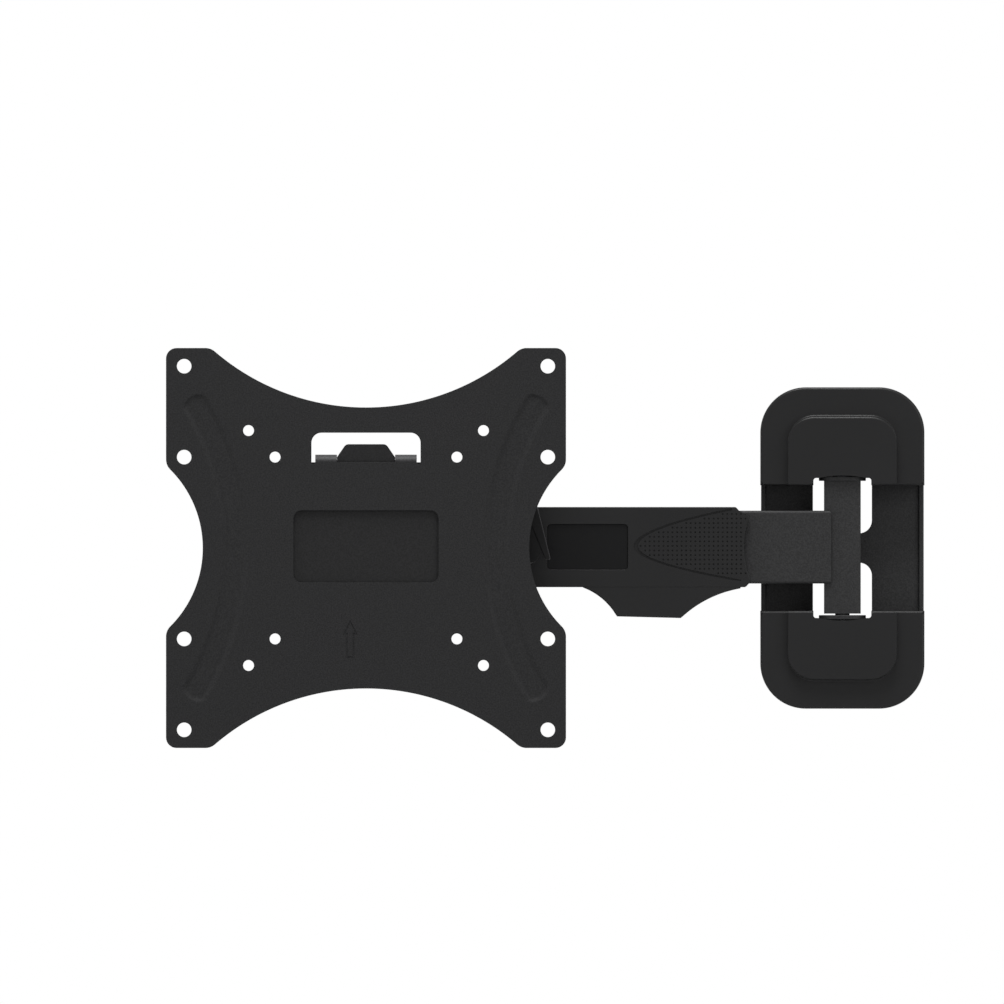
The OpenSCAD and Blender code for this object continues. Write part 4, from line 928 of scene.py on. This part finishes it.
def cover_patches():
    """The outer profile over the back edge and up the inside, both faces, notch and wall ends."""
    under = COVER_FRONT - COVER_WALL
    rows = round_rows(COVER_EDGE, COVER_FRONT - COVER_EDGE, COVER_EDGE, 0, 90, 5)
    rows += [(0, COVER_BACK + BACK_EDGE, 1, 0, 0), (BACK_EDGE, COVER_BACK, 0, -1, 0),
             (COVER_WALL, COVER_BACK, 0, -1, 0), (COVER_WALL, COVER_BACK, -1, 0, 0),
             (COVER_WALL, under, -1, 0, 1)]
    whole_notch = np.vstack([[-CUT_HALF, notch_foot], notch, [CUT_HALF, notch_foot]])
    outer = np.vstack([inset_path(shell_path, COVER_EDGE, False), whole_notch])
    inner = np.vstack([inset_path(shell_path, COVER_WALL, False), notch])
    patches = [wall(shell_path, rows, panel_relief, closed=False),
               face([outer], COVER_FRONT, panel_relief, ramp),
               face([inner], under, panel_relief, ramp, front=False),
               wall(whole_notch, straight(COVER_FRONT, under), panel_relief, closed=False)]
    for x, faces_left in ((CUT_HALF, True), (-CUT_HALF, False)):
        lift = panel_relief(np.array([[x, COVER_FOOT + 1]]))[0]
        edge = [(-(r[1] + (lift if len(r) < 5 or r[4] else 0)), COVER_FOOT + r[0]) for r in rows]
        outline = np.array(edge[:-3] + edge[-2:] + [(-(COVER_FRONT + lift), notch_foot)])
        patches += sideways([face([outline], x, front=not faces_left)])
    for shape in (CLIP, mirrored(CLIP)):
        for z in CLIPS_AT:
            patches += tipped(plate([shape], COVER_FOOT + z, COVER_FOOT + z + CLIP_LENGTH, 0.2))
    return patches


# %% Build both covers
# The wall covers take a darker copy of the cover plastic: painted shade.
piece("upper_cover_skin", cover_patches(), ["upper_cover"], "wall_bracket", "cover_plastic",
      look="wall_plastic_painted_shade")
piece("lower_cover_skin", upside_down(cover_patches()), ["lower_cover"], "wall_bracket",
      "cover_plastic", look="wall_plastic_painted_shade")

# %% [markdown]
# ## The knuckles
#
# A knuckle is a square steel bar with a hole from top to bottom. It is drawn from above. Its top
# reaches a little higher than the solid's, so that no line of light is left under the tongue.

# %% Build the knuckles
KNUCKLE_R, KNUCKLE_BORE, KNUCKLE_RISE, KNUCKLE_EDGE = 1.2, 6.0, 0.18, 0.03
for node, body in (("rear_knuckle", "rear_arm"), ("front_knuckle", "front_arm")):
    low, high = in_mm(node)
    section = round_box(low[0], low[1], high[0], high[1], KNUCKLE_R, 6)
    hole = ring((low[0] + high[0]) / 2, (low[1] + high[1]) / 2, KNUCKLE_BORE, 40)
    patches = plate([section, hole], low[2], high[2] + KNUCKLE_RISE, KNUCKLE_EDGE)
    piece(node + "_skin", patches, [node], body, "coated_steel", view="top")

# %% [markdown]
# ## The rear tube
#
# The rear arm is a flat box tube. Its side walls run past the top and bottom walls and lap over
# the knuckle. The section is drawn from the side and carried along X; two reliefs, one for each
# end, say how far each point of the section reaches.

# %% Sizes and ends of the tube
TUBE_WALL, TUBE_R, LAP_R, LAP_EDGE, ELBOW_PIN_R = 2.0, 1.5, 1.5, 0.35, 5.0
tube_low, tube_high = in_mm("rear_tube")
tube_y, tube_z = (tube_low[1:] + tube_high[1:]) / 2
half_y, half_z = (tube_high[1:] - tube_low[1:]) / 2
elbow_x = in_mm("elbow_pin")[0][0] + ELBOW_PIN_R
knuckle_face = in_mm("rear_knuckle")[0][0]
wall_half = half_y - TUBE_WALL
print(f"the tube runs from the elbow at {elbow_x:.1f} to {tube_high[0]:.1f} mm")


def lap_end(points):
    """The right end: the side walls reach the lap's end, and the rest stop at the knuckle.

    Near a corner the lap ends on a circle: a radius r gives r - sqrt(r^2 - d^2) less at the
    distance d past the circle's centre."""
    y, z = np.abs(points[:, 0] - tube_y), np.abs(points[:, 1] - tube_z)
    over = np.clip(z - (half_z - LAP_R), 0, LAP_R)
    lap = tube_high[0] - LAP_R + np.sqrt(LAP_R ** 2 - over ** 2)
    return np.where(y > wall_half - 0.005, lap, knuckle_face)


def barrel_end(points):
    """The left end follows the barrel: a circle about the elbow."""
    y = points[:, 0] - tube_y
    return elbow_x + np.sqrt(np.maximum(half_y ** 2 - y ** 2, 0))


# %% Build the tube
quarter = joined(
    line([half_y, 0], [half_y, half_z - TUBE_R], 1.5),
    arc(half_y - TUBE_R, half_z - TUBE_R, TUBE_R, 0, 90, 12), [wall_half, half_z],
    line([wall_half - 0.03, half_z], [0, half_z], 1.0))
section = four_fold(quarter) + [tube_y, tube_z]
mid_x = (elbow_x + knuckle_face) / 2
right_rows = [(0, mid_x, 1, 0, 0)] + round_rows(LAP_EDGE, -LAP_EDGE, LAP_EDGE, 90, 0, 3)
right_rows += [(TUBE_WALL, 0, 0, 1, 1), (TUBE_WALL, 0, -1, 0, 1), (TUBE_WALL, mid_x, -1, 0, 0)]
left_rows = [(0, mid_x, 1, 0, 0), (0, 0, 1, 0, 1), (0, 0, 0, -1, 1), (TUBE_WALL, 0, 0, -1, 1),
             (TUBE_WALL, 0, -1, 0, 1), (TUBE_WALL, mid_x, -1, 0, 0)]
points, normals, faces = wall(section, right_rows, lap_end)
patches = [(points, normals, faces[:, ::-1]), wall(section, left_rows, barrel_end)]
piece("rear_tube_skin", patches, ["rear_tube"], "rear_arm", "coated_steel", view="side")

# %% [markdown]
# ## The front cover
#
# A moulded strip hides the front arm. Its right end is hollowed by a wide arc and slopes to the
# tube. A recess holds a glossy cap, and a leaf-shaped grip full of dimples marks where the arm is
# held. The groove round the grip and the dimples are cut into the front face.

# %% Outline of the front cover
cov_low, cov_high = in_mm("front_cover")
LEFT_X, END_X, TOP_Z, LOW_Z = cov_low[0], elbow_x + 55.2, cov_high[2], cov_low[2]
STRIP_FRONT, STRIP_BACK, STRIP_EDGE, STRIP_BACK_EDGE = -cov_low[1], 33.01, 0.5, 0.2
# The hollow end: its middle's height, radius and depth, and how far it reaches up and down.
MID_Z, END_R, END_SAG, END_UP, END_DOWN = 0.6, 47.0, 2.8, 15.8, 17.17

top_slope = np.array([[-8.1, 0], [-7.5, 0.1], [-7, 0.45], [-6.4, 1.1], [-5.6, 2], [-0.9, 4.1],
                      [-0.1, 4.9]])
low_slope = np.array([[0.4, 3.3], [-0.2, 2], [-1, 1.1], [-1.5, 0.55], [-2.4, 0]])
upper_end = np.array([END_X, TOP_Z]) + top_slope * [1, -1]
lower_end = np.array([END_X, LOW_Z]) + low_slope
end_c = END_X - END_SAG + END_R
top_a = math.degrees(math.asin(END_UP / END_R))
low_a = math.degrees(math.asin(END_DOWN / END_R))
hollow = arc(end_c, MID_Z, END_R, 180 + low_a, 180 - top_a, 24)
cover_outline = filled_in(joined([LEFT_X, TOP_Z], [LEFT_X, LOW_Z], lower_end[::-1], hollow,
                                 upper_end[::-1]), 3)
print(f"front cover: {END_X - LEFT_X:.1f} mm long")

# %% Groove round the grip
GRIP_TIP, GRIP_Z, GRIP_POWER = elbow_x - 7.24, 1.06, 0.515
GRIP_UP, GRIP_DOWN, GRIP_FOOT, TOP_GAP = 2.623, 2.336, 18.9, 0.75
GROOVE_DEPTH, GROOVE_HALF, TIP_EXTRA, TIP_FADE = 1.0, 0.55, 0.6, 3.5
FADE_END, FADE_RUN, THIN = 61, 9, 0.2


def grip_line(rise, side, far, n):
    """One branch of the groove's middle line, from the tip to the height far above or below it.

    The height grows with a power of the distance from the tip, a little above one half. The points
    are even in height, which sets them close where the line bends."""
    up = far * np.linspace(0, 1, n)
    return np.column_stack([GRIP_TIP + (up / rise) ** (1 / GRIP_POWER), GRIP_Z + side * up])


upper = grip_line(GRIP_UP, 1, TOP_Z - STRIP_EDGE - TOP_GAP - GRIP_Z, 70)
lower = grip_line(GRIP_DOWN, -1, GRIP_FOOT, 70)
middle_line = np.vstack([upper[::-1], lower[1:]])
slope = np.gradient(middle_line, axis=0)
to_left = np.column_stack([-slope[:, 1], slope[:, 0]]) / np.hypot(*slope.T)[:, None]
from_tip = middle_line[:, 0] - GRIP_TIP
# The groove is widest at the tip, and thins out towards its two far ends.
half_width = GROOVE_HALF + TIP_EXTRA * np.exp(-from_tip / TIP_FADE)
half_width *= THIN + (1 - THIN) * clipped((FADE_END - from_tip) / FADE_RUN)
aside = to_left * half_width[:, None]
groove = np.vstack([middle_line - aside, (middle_line + aside)[::-1]])
print("the groove runs over", len(middle_line), "points")

# %% Dimples inside the grip
DOT_R, DOT_DEPTH, DOT_MARGIN = 0.52, 0.9, 1.5
DOT_START, DOT_PITCH, DOT_TOP, DOT_DROP = 151.0, 2.51, 18.7, 32.6
spots = grid(HEAD_X + DOT_START + DOT_PITCH * np.arange(24),
             DOT_TOP - DOT_DROP / 13 * np.arange(14))
in_leaf = inside(spots, [np.vstack([middle_line, [END_X, lower[-1, 1]], [END_X, TOP_Z]])])
away = np.hypot(*(spots[:, None] - middle_line[None]).transpose(2, 0, 1)).min(axis=1)
end_line = end_c - np.sqrt(END_R ** 2 - (spots[:, 1] - MID_Z) ** 2)
spots = spots[in_leaf & (away > DOT_MARGIN) & (spots[:, 0] < end_line - DOT_MARGIN)]
dimples = [ring(x, z, DOT_R, 8) for x, z in spots]
print(len(dimples), "dimples")

# %% Recess for the cap
cap_low, cap_high = in_mm("recess_cap")
CAP_R, CAP_EDGE, CAP_GAP, POCKET_EDGE = 1.9, 0.15, 0.1, 0.25
cap = round_box(cap_low[0], cap_low[2], cap_high[0], cap_high[2], CAP_R, 8)
recess = round_box(cap_low[0] - CAP_GAP, cap_low[2] - CAP_GAP, cap_high[0] + CAP_GAP,
                   cap_high[2] + CAP_GAP, CAP_R + CAP_GAP, 8)[::-1]
recess_floor = -cap_high[1]
pocket = round_rows(POCKET_EDGE, STRIP_FRONT - POCKET_EDGE, POCKET_EDGE, 0, 90, 2)
pocket.append((0, recess_floor, 1, 0))
print(f"the recess is {STRIP_FRONT - recess_floor:.1f} mm deep")

# %% Build the front cover
# Both long edges turn back over the arm as lips.
HOOD_X, LIP_T, LIP_BACK, LIP_EDGE = elbow_x + 14.3, 1.7, 6.9, 0.15
rows = round_rows(STRIP_EDGE, STRIP_FRONT - STRIP_EDGE, STRIP_EDGE, 0, 90, 4)
rows += [(0, STRIP_BACK + STRIP_BACK_EDGE, 1, 0), (STRIP_BACK_EDGE, STRIP_BACK, 0, -1)]
groove_floor, dot_floor = STRIP_FRONT - GROOVE_DEPTH, STRIP_FRONT - DOT_DEPTH
edges = [inset_path(cover_outline, STRIP_EDGE), inset_path(recess, POCKET_EDGE), groove[::-1]]
patches = [wall(cover_outline, rows), wall(recess, pocket), face([recess[::-1]], recess_floor),
           face(edges + dimples, STRIP_FRONT),
           wall(groove[::-1], straight(STRIP_FRONT, groove_floor)), face([groove], groove_floor),
           face([inset_path(cover_outline, STRIP_BACK_EDGE)], STRIP_BACK, front=False)]
for dot in dimples:
    patches += [wall(dot, straight(STRIP_FRONT, dot_floor)), face([dot[::-1]], dot_floor)]
top_lip = joined([HOOD_X, TOP_Z], [HOOD_X, TOP_Z - LIP_T], [END_X - 6.03, TOP_Z - LIP_T],
                 upper_end[3::-1])
low_lip = joined([HOOD_X, LOW_Z + LIP_T], [HOOD_X, LOW_Z], lower_end[:1:-1],
                 [END_X - 0.45, LOW_Z + LIP_T])
for lip in (top_lip, low_lip):
    patches += plate([lip], LIP_BACK, STRIP_BACK, LIP_EDGE)
piece("front_cover_skin", patches, ["front_cover"], "front_arm", "cover_plastic")

# %% Build the recess cap
piece("recess_cap_skin", plate([cap], -cap_high[1], -cap_low[1], CAP_EDGE), ["recess_cap"],
      "front_arm", "cap_plastic")

# %% [markdown]
# ## The shroud under the elbow
#
# A hollow moulding under the elbow hides the pin's nut. Both of its flanks are hollow arcs. The
# outline's sides are carried from front to back, and the top has a round hole for the nut.

# %% Outline of the shroud
SHROUD_WALL, SHROUD_EDGE = 1.6, 0.8
LEFT_R, RIGHT_R, NUT_ROOM_R, NUT_ROOM_BACK = 35.35, 62.95, 11.3, 1.9
sh_low, sh_high = in_mm("elbow_shroud")
sh_top, sh_bottom = LOW_Z - 0.005, sh_low[2]
left_c = np.array([elbow_x - 48.5, sh_bottom - 16.4])
right_c = np.array([elbow_x + 60.8, sh_bottom - 45.8])
low_left = np.array([elbow_x - 17.5, sh_bottom + 0.9])
low_right = np.array([elbow_x + 17.5, sh_bottom])
top_left, top_right = np.array([sh_low[0], sh_top]), np.array([sh_high[0], sh_top])


def flank(centre, r, start, stop, trim, n):
    """An arc between the directions of two points, trimmed at its ends by so many degrees."""
    a, b = (math.degrees(math.atan2(p[1] - centre[1], p[0] - centre[0])) for p in (start, stop))
    return arc(*centre, r, a + trim[0], b + trim[1], n)


shroud = joined(
    top_left, flank(left_c, LEFT_R, top_left, low_left, (-2, 2), 24), low_left,
    low_right, flank(right_c, RIGHT_R, low_right, top_right, (-1, 1.5), 32),
    top_right - [0, 0.6], top_right)
in_z = sh_top - SHROUD_WALL
left_in, right_in = LEFT_R + SHROUD_WALL, RIGHT_R + SHROUD_WALL
in_left = [left_c[0] + math.sqrt(left_in ** 2 - (in_z - left_c[1]) ** 2), in_z]
in_right = [right_c[0] - math.sqrt(right_in ** 2 - (in_z - right_c[1]) ** 2), in_z]
cavity = joined(
    flank(left_c, left_in, in_left, low_left + [0.2, SHROUD_WALL], (0, 0), 20),
    flank(right_c, right_in, low_right + [-0.5, SHROUD_WALL], in_right, (0, 0), 24))
print(f"shroud: {top_right[0] - top_left[0]:.1f} mm wide")

# %% Sides and lid of the shroud
sh_front, sh_back = -sh_low[1], -sh_high[1]
LIP_RISE = 0.9 * STRIP_EDGE


def lip(p):
    """The lid's front edge rises in front of the cover's rounded edge, so the two lie flush."""
    return LIP_RISE * np.clip((SHROUD_EDGE - sh_front - p[:, 1]) / SHROUD_EDGE, 0, 1)


rows = round_over(sh_front, sh_back, SHROUD_EDGE)
points, normals, faces = wall(shroud, rows)
n = len(shroud)
points[0::n, 1] = points[n - 1::n, 1] = sh_top + lip(points[0::n, ::2] * [1, -1])
top_edge = np.arange(len(rows) - 1) * n + n - 1
rim = inset_path(shroud, SHROUD_EDGE)
rim[[0, -1], 1] = sh_top + LIP_RISE
lid_path = np.vstack([points[n - 1::n, ::2], points[0::n, ::2][::-1]]) * [1, -1]
print("the lid has", len(lid_path), "points round it")

# %% Build the shroud
in_front, in_back = sh_front - SHROUD_WALL, sh_back + SHROUD_WALL
room = ring(elbow_x, (sh_low[1] + sh_high[1]) / 2 + NUT_ROOM_BACK, NUT_ROOM_R, 40)
x0, x1 = cavity[0, 0], cavity[-1, 0]
under = np.array([[x1, -in_back], [x0, -in_back], [x0, -in_front], [x1, -in_front]])
patches = [(points, normals, np.delete(faces, top_edge, axis=0)),
           face([rim], sh_front), face([rim], sh_back, front=False)]
patches += tipped([face([lid_path, room], sh_top, lip), face([under, room], in_z, front=False),
                   wall(room, straight(sh_top, in_z))])
patches += [wall(cavity[::-1], straight(in_front, in_back), closed=False),
            face([cavity], in_front, front=False), face([cavity], in_back)]
piece("elbow_shroud_skin", patches, ["elbow_shroud"], "front_arm", "cover_plastic")

# %% [markdown]
# ## The brackets of the head
#
# Both brackets are crosses of sheet steel. The swivel bracket's upright arms fold back round the
# knuckle, and its side arms fold forward as ears. The tilt bracket's ears fold back outside them.

# %% Draw a cross
BEND = 2.25 * math.pi / 2
EAR_R, ARM_R, REST_OF_ARM, BRACKET_EDGE = 12.0, 7.0, 60, 0.4


def blank_cross(half_w, half_h, root, ear, tab, corner):
    """A cross-shaped blank: its ears end in half circles, and its tabs narrow past the bend.

    half_w and half_h are the middle's half sizes, root the bend line of the ears, ear the length
    past it up to the tilt axis, tab (half width, length of the wide foot, full length) or None."""
    axis_x = root + BEND + ear
    side = line([axis_x, EAR_R], [half_w, EAR_R], 0.7)[:-1]
    if tab is None:
        top = joined([half_w, EAR_R], arc(half_w - corner, half_h - corner, corner, 0, 90, 5),
                     [0, half_h])
    else:
        foot, end = half_h + BEND + tab[1], half_h + BEND + tab[2]
        top = joined([half_w, EAR_R], line([half_w, half_h - 1], [half_w, half_h + BEND + 1], 0.45),
                     arc(half_w - corner, foot - corner, corner, 0, 90, 4), [tab[0], foot],
                     arc(tab[0] - ARM_R, end - ARM_R, ARM_R, 0, 90, 8), [0, end])
    outline = four_fold(joined(arc(axis_x, 0, EAR_R, 0, 90, 14), side, top))
    loose_x = np.arange(root - 0.9, root + BEND + 1, 0.45)
    loose = grid(np.concatenate([loose_x, -loose_x]), np.linspace(-10.5, 10.5, 8))
    if tab is not None:
        loose_z = np.arange(half_h - 0.9, half_h + BEND + 1, 0.45)
        loose = np.vstack([loose, grid(np.linspace(-half_w + 1.5, half_w - 1.5, 12),
                                       np.concatenate([loose_z, -loose_z]))])
    return outline, axis_x, loose


def fold_sides(patches, axis, start, turn, middle, half_width=math.inf):
    """Folds the two arms of a cross that lie beyond +start and -start along one axis."""
    for side in (1, -1):
        fold(patches, lambda p: (side * p[:, axis] > start) & (np.abs(p[:, 1 - axis]) < half_width),
             axis, side * start, side, [(BEND, turn), (REST_OF_ARM, 0)], middle)


# %% Build the swivel bracket
SW_HALF_W, SW_HALF_H, SW_ROOT, SW_BACK, SW_FRONT = 20.0, 35.9, 55.5, 37.5, 40.0
TILT_HOLE_R, PIVOT_HOLE_R, PIVOT_AT = 4.1, 3.1, 17.5
outline, ear_axis, loose = blank_cross(SW_HALF_W, SW_HALF_H, SW_ROOT, 13.0, (12.95, 6.0, 29.0), 1.0)
pivot_z = SW_HALF_H + BEND + PIVOT_AT
holes = [ring(x, 0, TILT_HOLE_R, 28) for x in (-ear_axis, ear_axis)]
holes += [ring(0, z, PIVOT_HOLE_R, 24) for z in (-pivot_z, pivot_z)]
patches = plate([outline] + holes, SW_BACK, SW_FRONT, BRACKET_EDGE, loose=loose)
fold_sides(patches, 0, SW_ROOT, -90, (SW_BACK + SW_FRONT) / 2)
fold_sides(patches, 1, SW_HALF_H, 90, (SW_BACK + SW_FRONT) / 2, SW_HALF_W + 0.01)
piece("swivel_bracket_skin", patches, ["swivel_bracket"], "swivel_head", "coated_steel",
      origin=(HEAD_X, 0, 0))

# %% Build the tilt bracket
TI_HALF_W, TI_HALF_H, TI_ROOT, TI_BACK, TI_FRONT = 24.0, 38.0, 59.0, 69.5, 72.0
STUD_HOLE_R, GUIDE_AT, GUIDE_R, GUIDE_PLAY, ROLL_TURN = 4.05, 30, 3, 0.05, math.radians(5.4)
outline, ear_axis, loose = blank_cross(TI_HALF_W, TI_HALF_H, TI_ROOT, 14.5, None, 2.0)
reach, rise = GUIDE_AT * math.sin(ROLL_TURN), GUIDE_AT * (1 - math.cos(ROLL_TURN)) / 2
slot_r = GUIDE_R + rise + GUIDE_PLAY
guide = joined(arc(reach, GUIDE_AT - rise, slot_r, -90, 90, 10),
               arc(-reach, GUIDE_AT - rise, slot_r, 90, 270, 10))[::-1]
holes = [ring(x, 0, STUD_HOLE_R, 28) for x in (-ear_axis, 0, ear_axis)]
holes += [guide, (guide * [1, -1])[::-1]]
patches = plate([outline] + holes, TI_BACK, TI_FRONT, BRACKET_EDGE, loose=loose)
fold_sides(patches, 0, TI_ROOT, 90, (TI_BACK + TI_FRONT) / 2)
piece("tilt_bracket_skin", patches, ["tilt_bracket"], "tilt_head", "coated_steel",
      origin=(HEAD_X, 0, 0))

# %% [markdown]
# ## The clamp lever
#
# The lever's hub is turned: a profile spins about the tilt bolt. Fourteen flutes are pressed into
# it, and fade out before the dome, whose front is cut flat for the thumb. The blade is a thick
# plate with well-rounded edges, a highlight is painted on its right edge, and a web joins it to
# the hub.


# %% Turned surfaces
def turned(profile, flute=None, n=112):
    """Spins a profile of (distance along the axis, radius) about the axis.

    The normal is square to the step along the profile and the step round the axis; flute gives
    the depth to press in for an angle and a distance."""
    profile = np.asarray(profile, float)
    angle = np.linspace(0, 2 * math.pi, n, endpoint=False)
    x = np.repeat(profile[:, 0], n)
    t = np.tile(angle, len(profile))
    r = np.repeat(profile[:, 1], n)
    if flute is not None:
        r = np.maximum(r - flute(t, x) * (r > FLUTES_FROM), 0)
    points = np.column_stack([-r * np.sin(t), r * np.cos(t), x]).reshape(len(profile), n, 3)
    along = np.gradient(points, axis=0)
    around = np.roll(points, -1, axis=1) - np.roll(points, 1, axis=1)
    normals = np.cross(around, along)
    size = np.linalg.norm(normals, axis=2, keepdims=True)
    flat_end = np.sign(profile[-1, 0] - profile[0, 0]) if len(profile) < 3 else 1.0
    normals = np.where(size > 1e-9, normals / np.maximum(size, 1e-9), [0, 0, flat_end])
    k, j = np.meshgrid(np.arange(len(profile) - 1), np.arange(n), indexing="ij")
    k, j = k.ravel(), j.ravel()
    nxt = (j + 1) % n
    quads = np.column_stack([k * n + j, k * n + nxt, (k + 1) * n + nxt, (k + 1) * n + j])
    return points.reshape(-1, 3), normals.reshape(-1, 3), quads


# %% Hub and neck
HUB_R, HUB_START, HUB_END, BORE_R, HUB_EDGE = 9.7, 63.5, 86.4, 6.0, 0.6
NECK_R, NECK_START, NECK_END = 2.4, HUB_END + 8, 97.9
FLUTES, FLUTE_R, FLUTE_OUT, FLUTES_FROM = 14, 1.3, 0.5, 7
TILT_N, THUMB, THUMB_RUN = 54.0, 4.0, 3.5


def flutes(t, x):
    """Round grooves whose centres lie FLUTE_OUT outside the hub.

    The depth follows the circle of each flute and fades over the last three millimetres."""
    off = (np.mod(t + math.pi / FLUTES, 2 * math.pi / FLUTES) - math.pi / FLUTES) * HUB_R
    depth = np.sqrt(np.maximum(FLUTE_R ** 2 - off ** 2, 0)) - FLUTE_OUT
    return np.maximum(depth, 0) * clipped((HUB_END - 1.5 - x) / 3.0)


def thumb_flat(points, normals):
    """Cuts a flat on the dome's front, THUMB before the axis, with a ramp up to the shaft."""
    slope = (HUB_R - THUMB) / THUMB_RUN
    ramp = THUMB + slope * np.clip(HUB_END + THUMB_RUN - points[:, 2], 0, THUMB_RUN)
    cut_off = -points[:, 0] > ramp
    on_ramp = cut_off & (ramp > THUMB)
    points[cut_off, 0] = -ramp[cut_off]
    normals[cut_off] = [-1, 0, 0]
    normals[on_ramp] = np.array([-1, 0, slope]) / math.hypot(1, slope)


angle = np.radians(np.linspace(0, 90, 5))
start = [(HUB_START + HUB_EDGE - HUB_EDGE * math.cos(t), HUB_R - HUB_EDGE + HUB_EDGE * math.sin(t))
         for t in angle]
shaft = [(x, HUB_R) for x in np.linspace(HUB_START + 2 * HUB_EDGE, HUB_END, 22)]
dome = [(HUB_END + HUB_R * math.sin(t), HUB_R * math.cos(t))
        for t in np.radians(np.linspace(3, 90, 30))]
dome[-1] = (dome[-1][0], 0.0)
hub = [turned(start + shaft + dome, flutes),
       turned([(HUB_START, BORE_R), (HUB_START, HUB_R - HUB_EDGE)]),
       turned([(HUB_END, BORE_R), (HUB_START, BORE_R)]),
       turned([(HUB_END, 0.0), (HUB_END, BORE_R)]),
       turned([(NECK_START, NECK_R), (NECK_END, NECK_R)], n=32),
       turned([(NECK_END, NECK_R), (NECK_END, 0)], n=32),
       turned([(NECK_START, 0), (NECK_START, NECK_R)], n=32)]
thumb_flat(*hub[0][:2])
hub = [(p - [TILT_N, 0, 0], n, f) for p, n, f in hub]
print(FLUTES, "flutes round the hub")

# %% Blade
BLADE_HALF, BLADE_EDGE, BLADE_TOP, WEB_HALF, WEB_EDGE = 4.5, 0.6, 32.0, 3.5, 0.3
LEAN_LEFT, LEAN_RIGHT = -0.41, -0.25
low_a, low_b = np.array([98.1, -5.6]), np.array([101.4, -5.6])
up_a = low_a + np.array([LEAN_LEFT, 1]) * (BLADE_TOP - low_a[1])
up_b = low_b + np.array([LEAN_RIGHT, 1]) * (BLADE_TOP - low_b[1])
blade = filled_in(joined(
    low_b + [0, 0.3], up_b - [-0.5, 2], up_b - [0.1, 0.5], up_b - [0.8, 0],
    up_a + [0.9, 0], up_a + [0.25, -0.5], up_a + [0.82, -2], low_a + [0, 0.3],
    low_a + [0.25, -0.3], low_a + [0.8, -0.7], low_b - [0.7, 0.9], low_b - [0.15, 0.5]), 3)
web = filled_in(joined([88.5, -8.2], [92, -8], [93.5, -7.2], [94.9, -5.2], [96, -3],
                       [98.3, -2.2], [91, 15.5], [88.5, 15.5]), 3)
patches = (sideways(hub) + plate([blade], TILT_N - BLADE_HALF, TILT_N + BLADE_HALF, BLADE_EDGE)
           + plate([web], TILT_N - WEB_HALF, TILT_N + THUMB + 0.2, WEB_EDGE))


def highlight_edge_test(points, normals):
    """True on the blade's right edge and its rounding, where a highlight is painted, but not on
    its flat sides.
    """
    edge_x = low_b[0] + LEAN_RIGHT * (points[:, 2] - low_b[1])
    return (points[:, 0] > edge_x - 1) & (normals[:, 0] > 0.1)


# The blade's right edge gets a painted highlight.
piece("tilt_lever_skin", patches, ["tilt_lever"], "clamp_lever", "lever_plastic",
      origin=(HEAD_X, 0, 0), painted_highlight=("lever_edge_painted_highlight", highlight_edge_test))
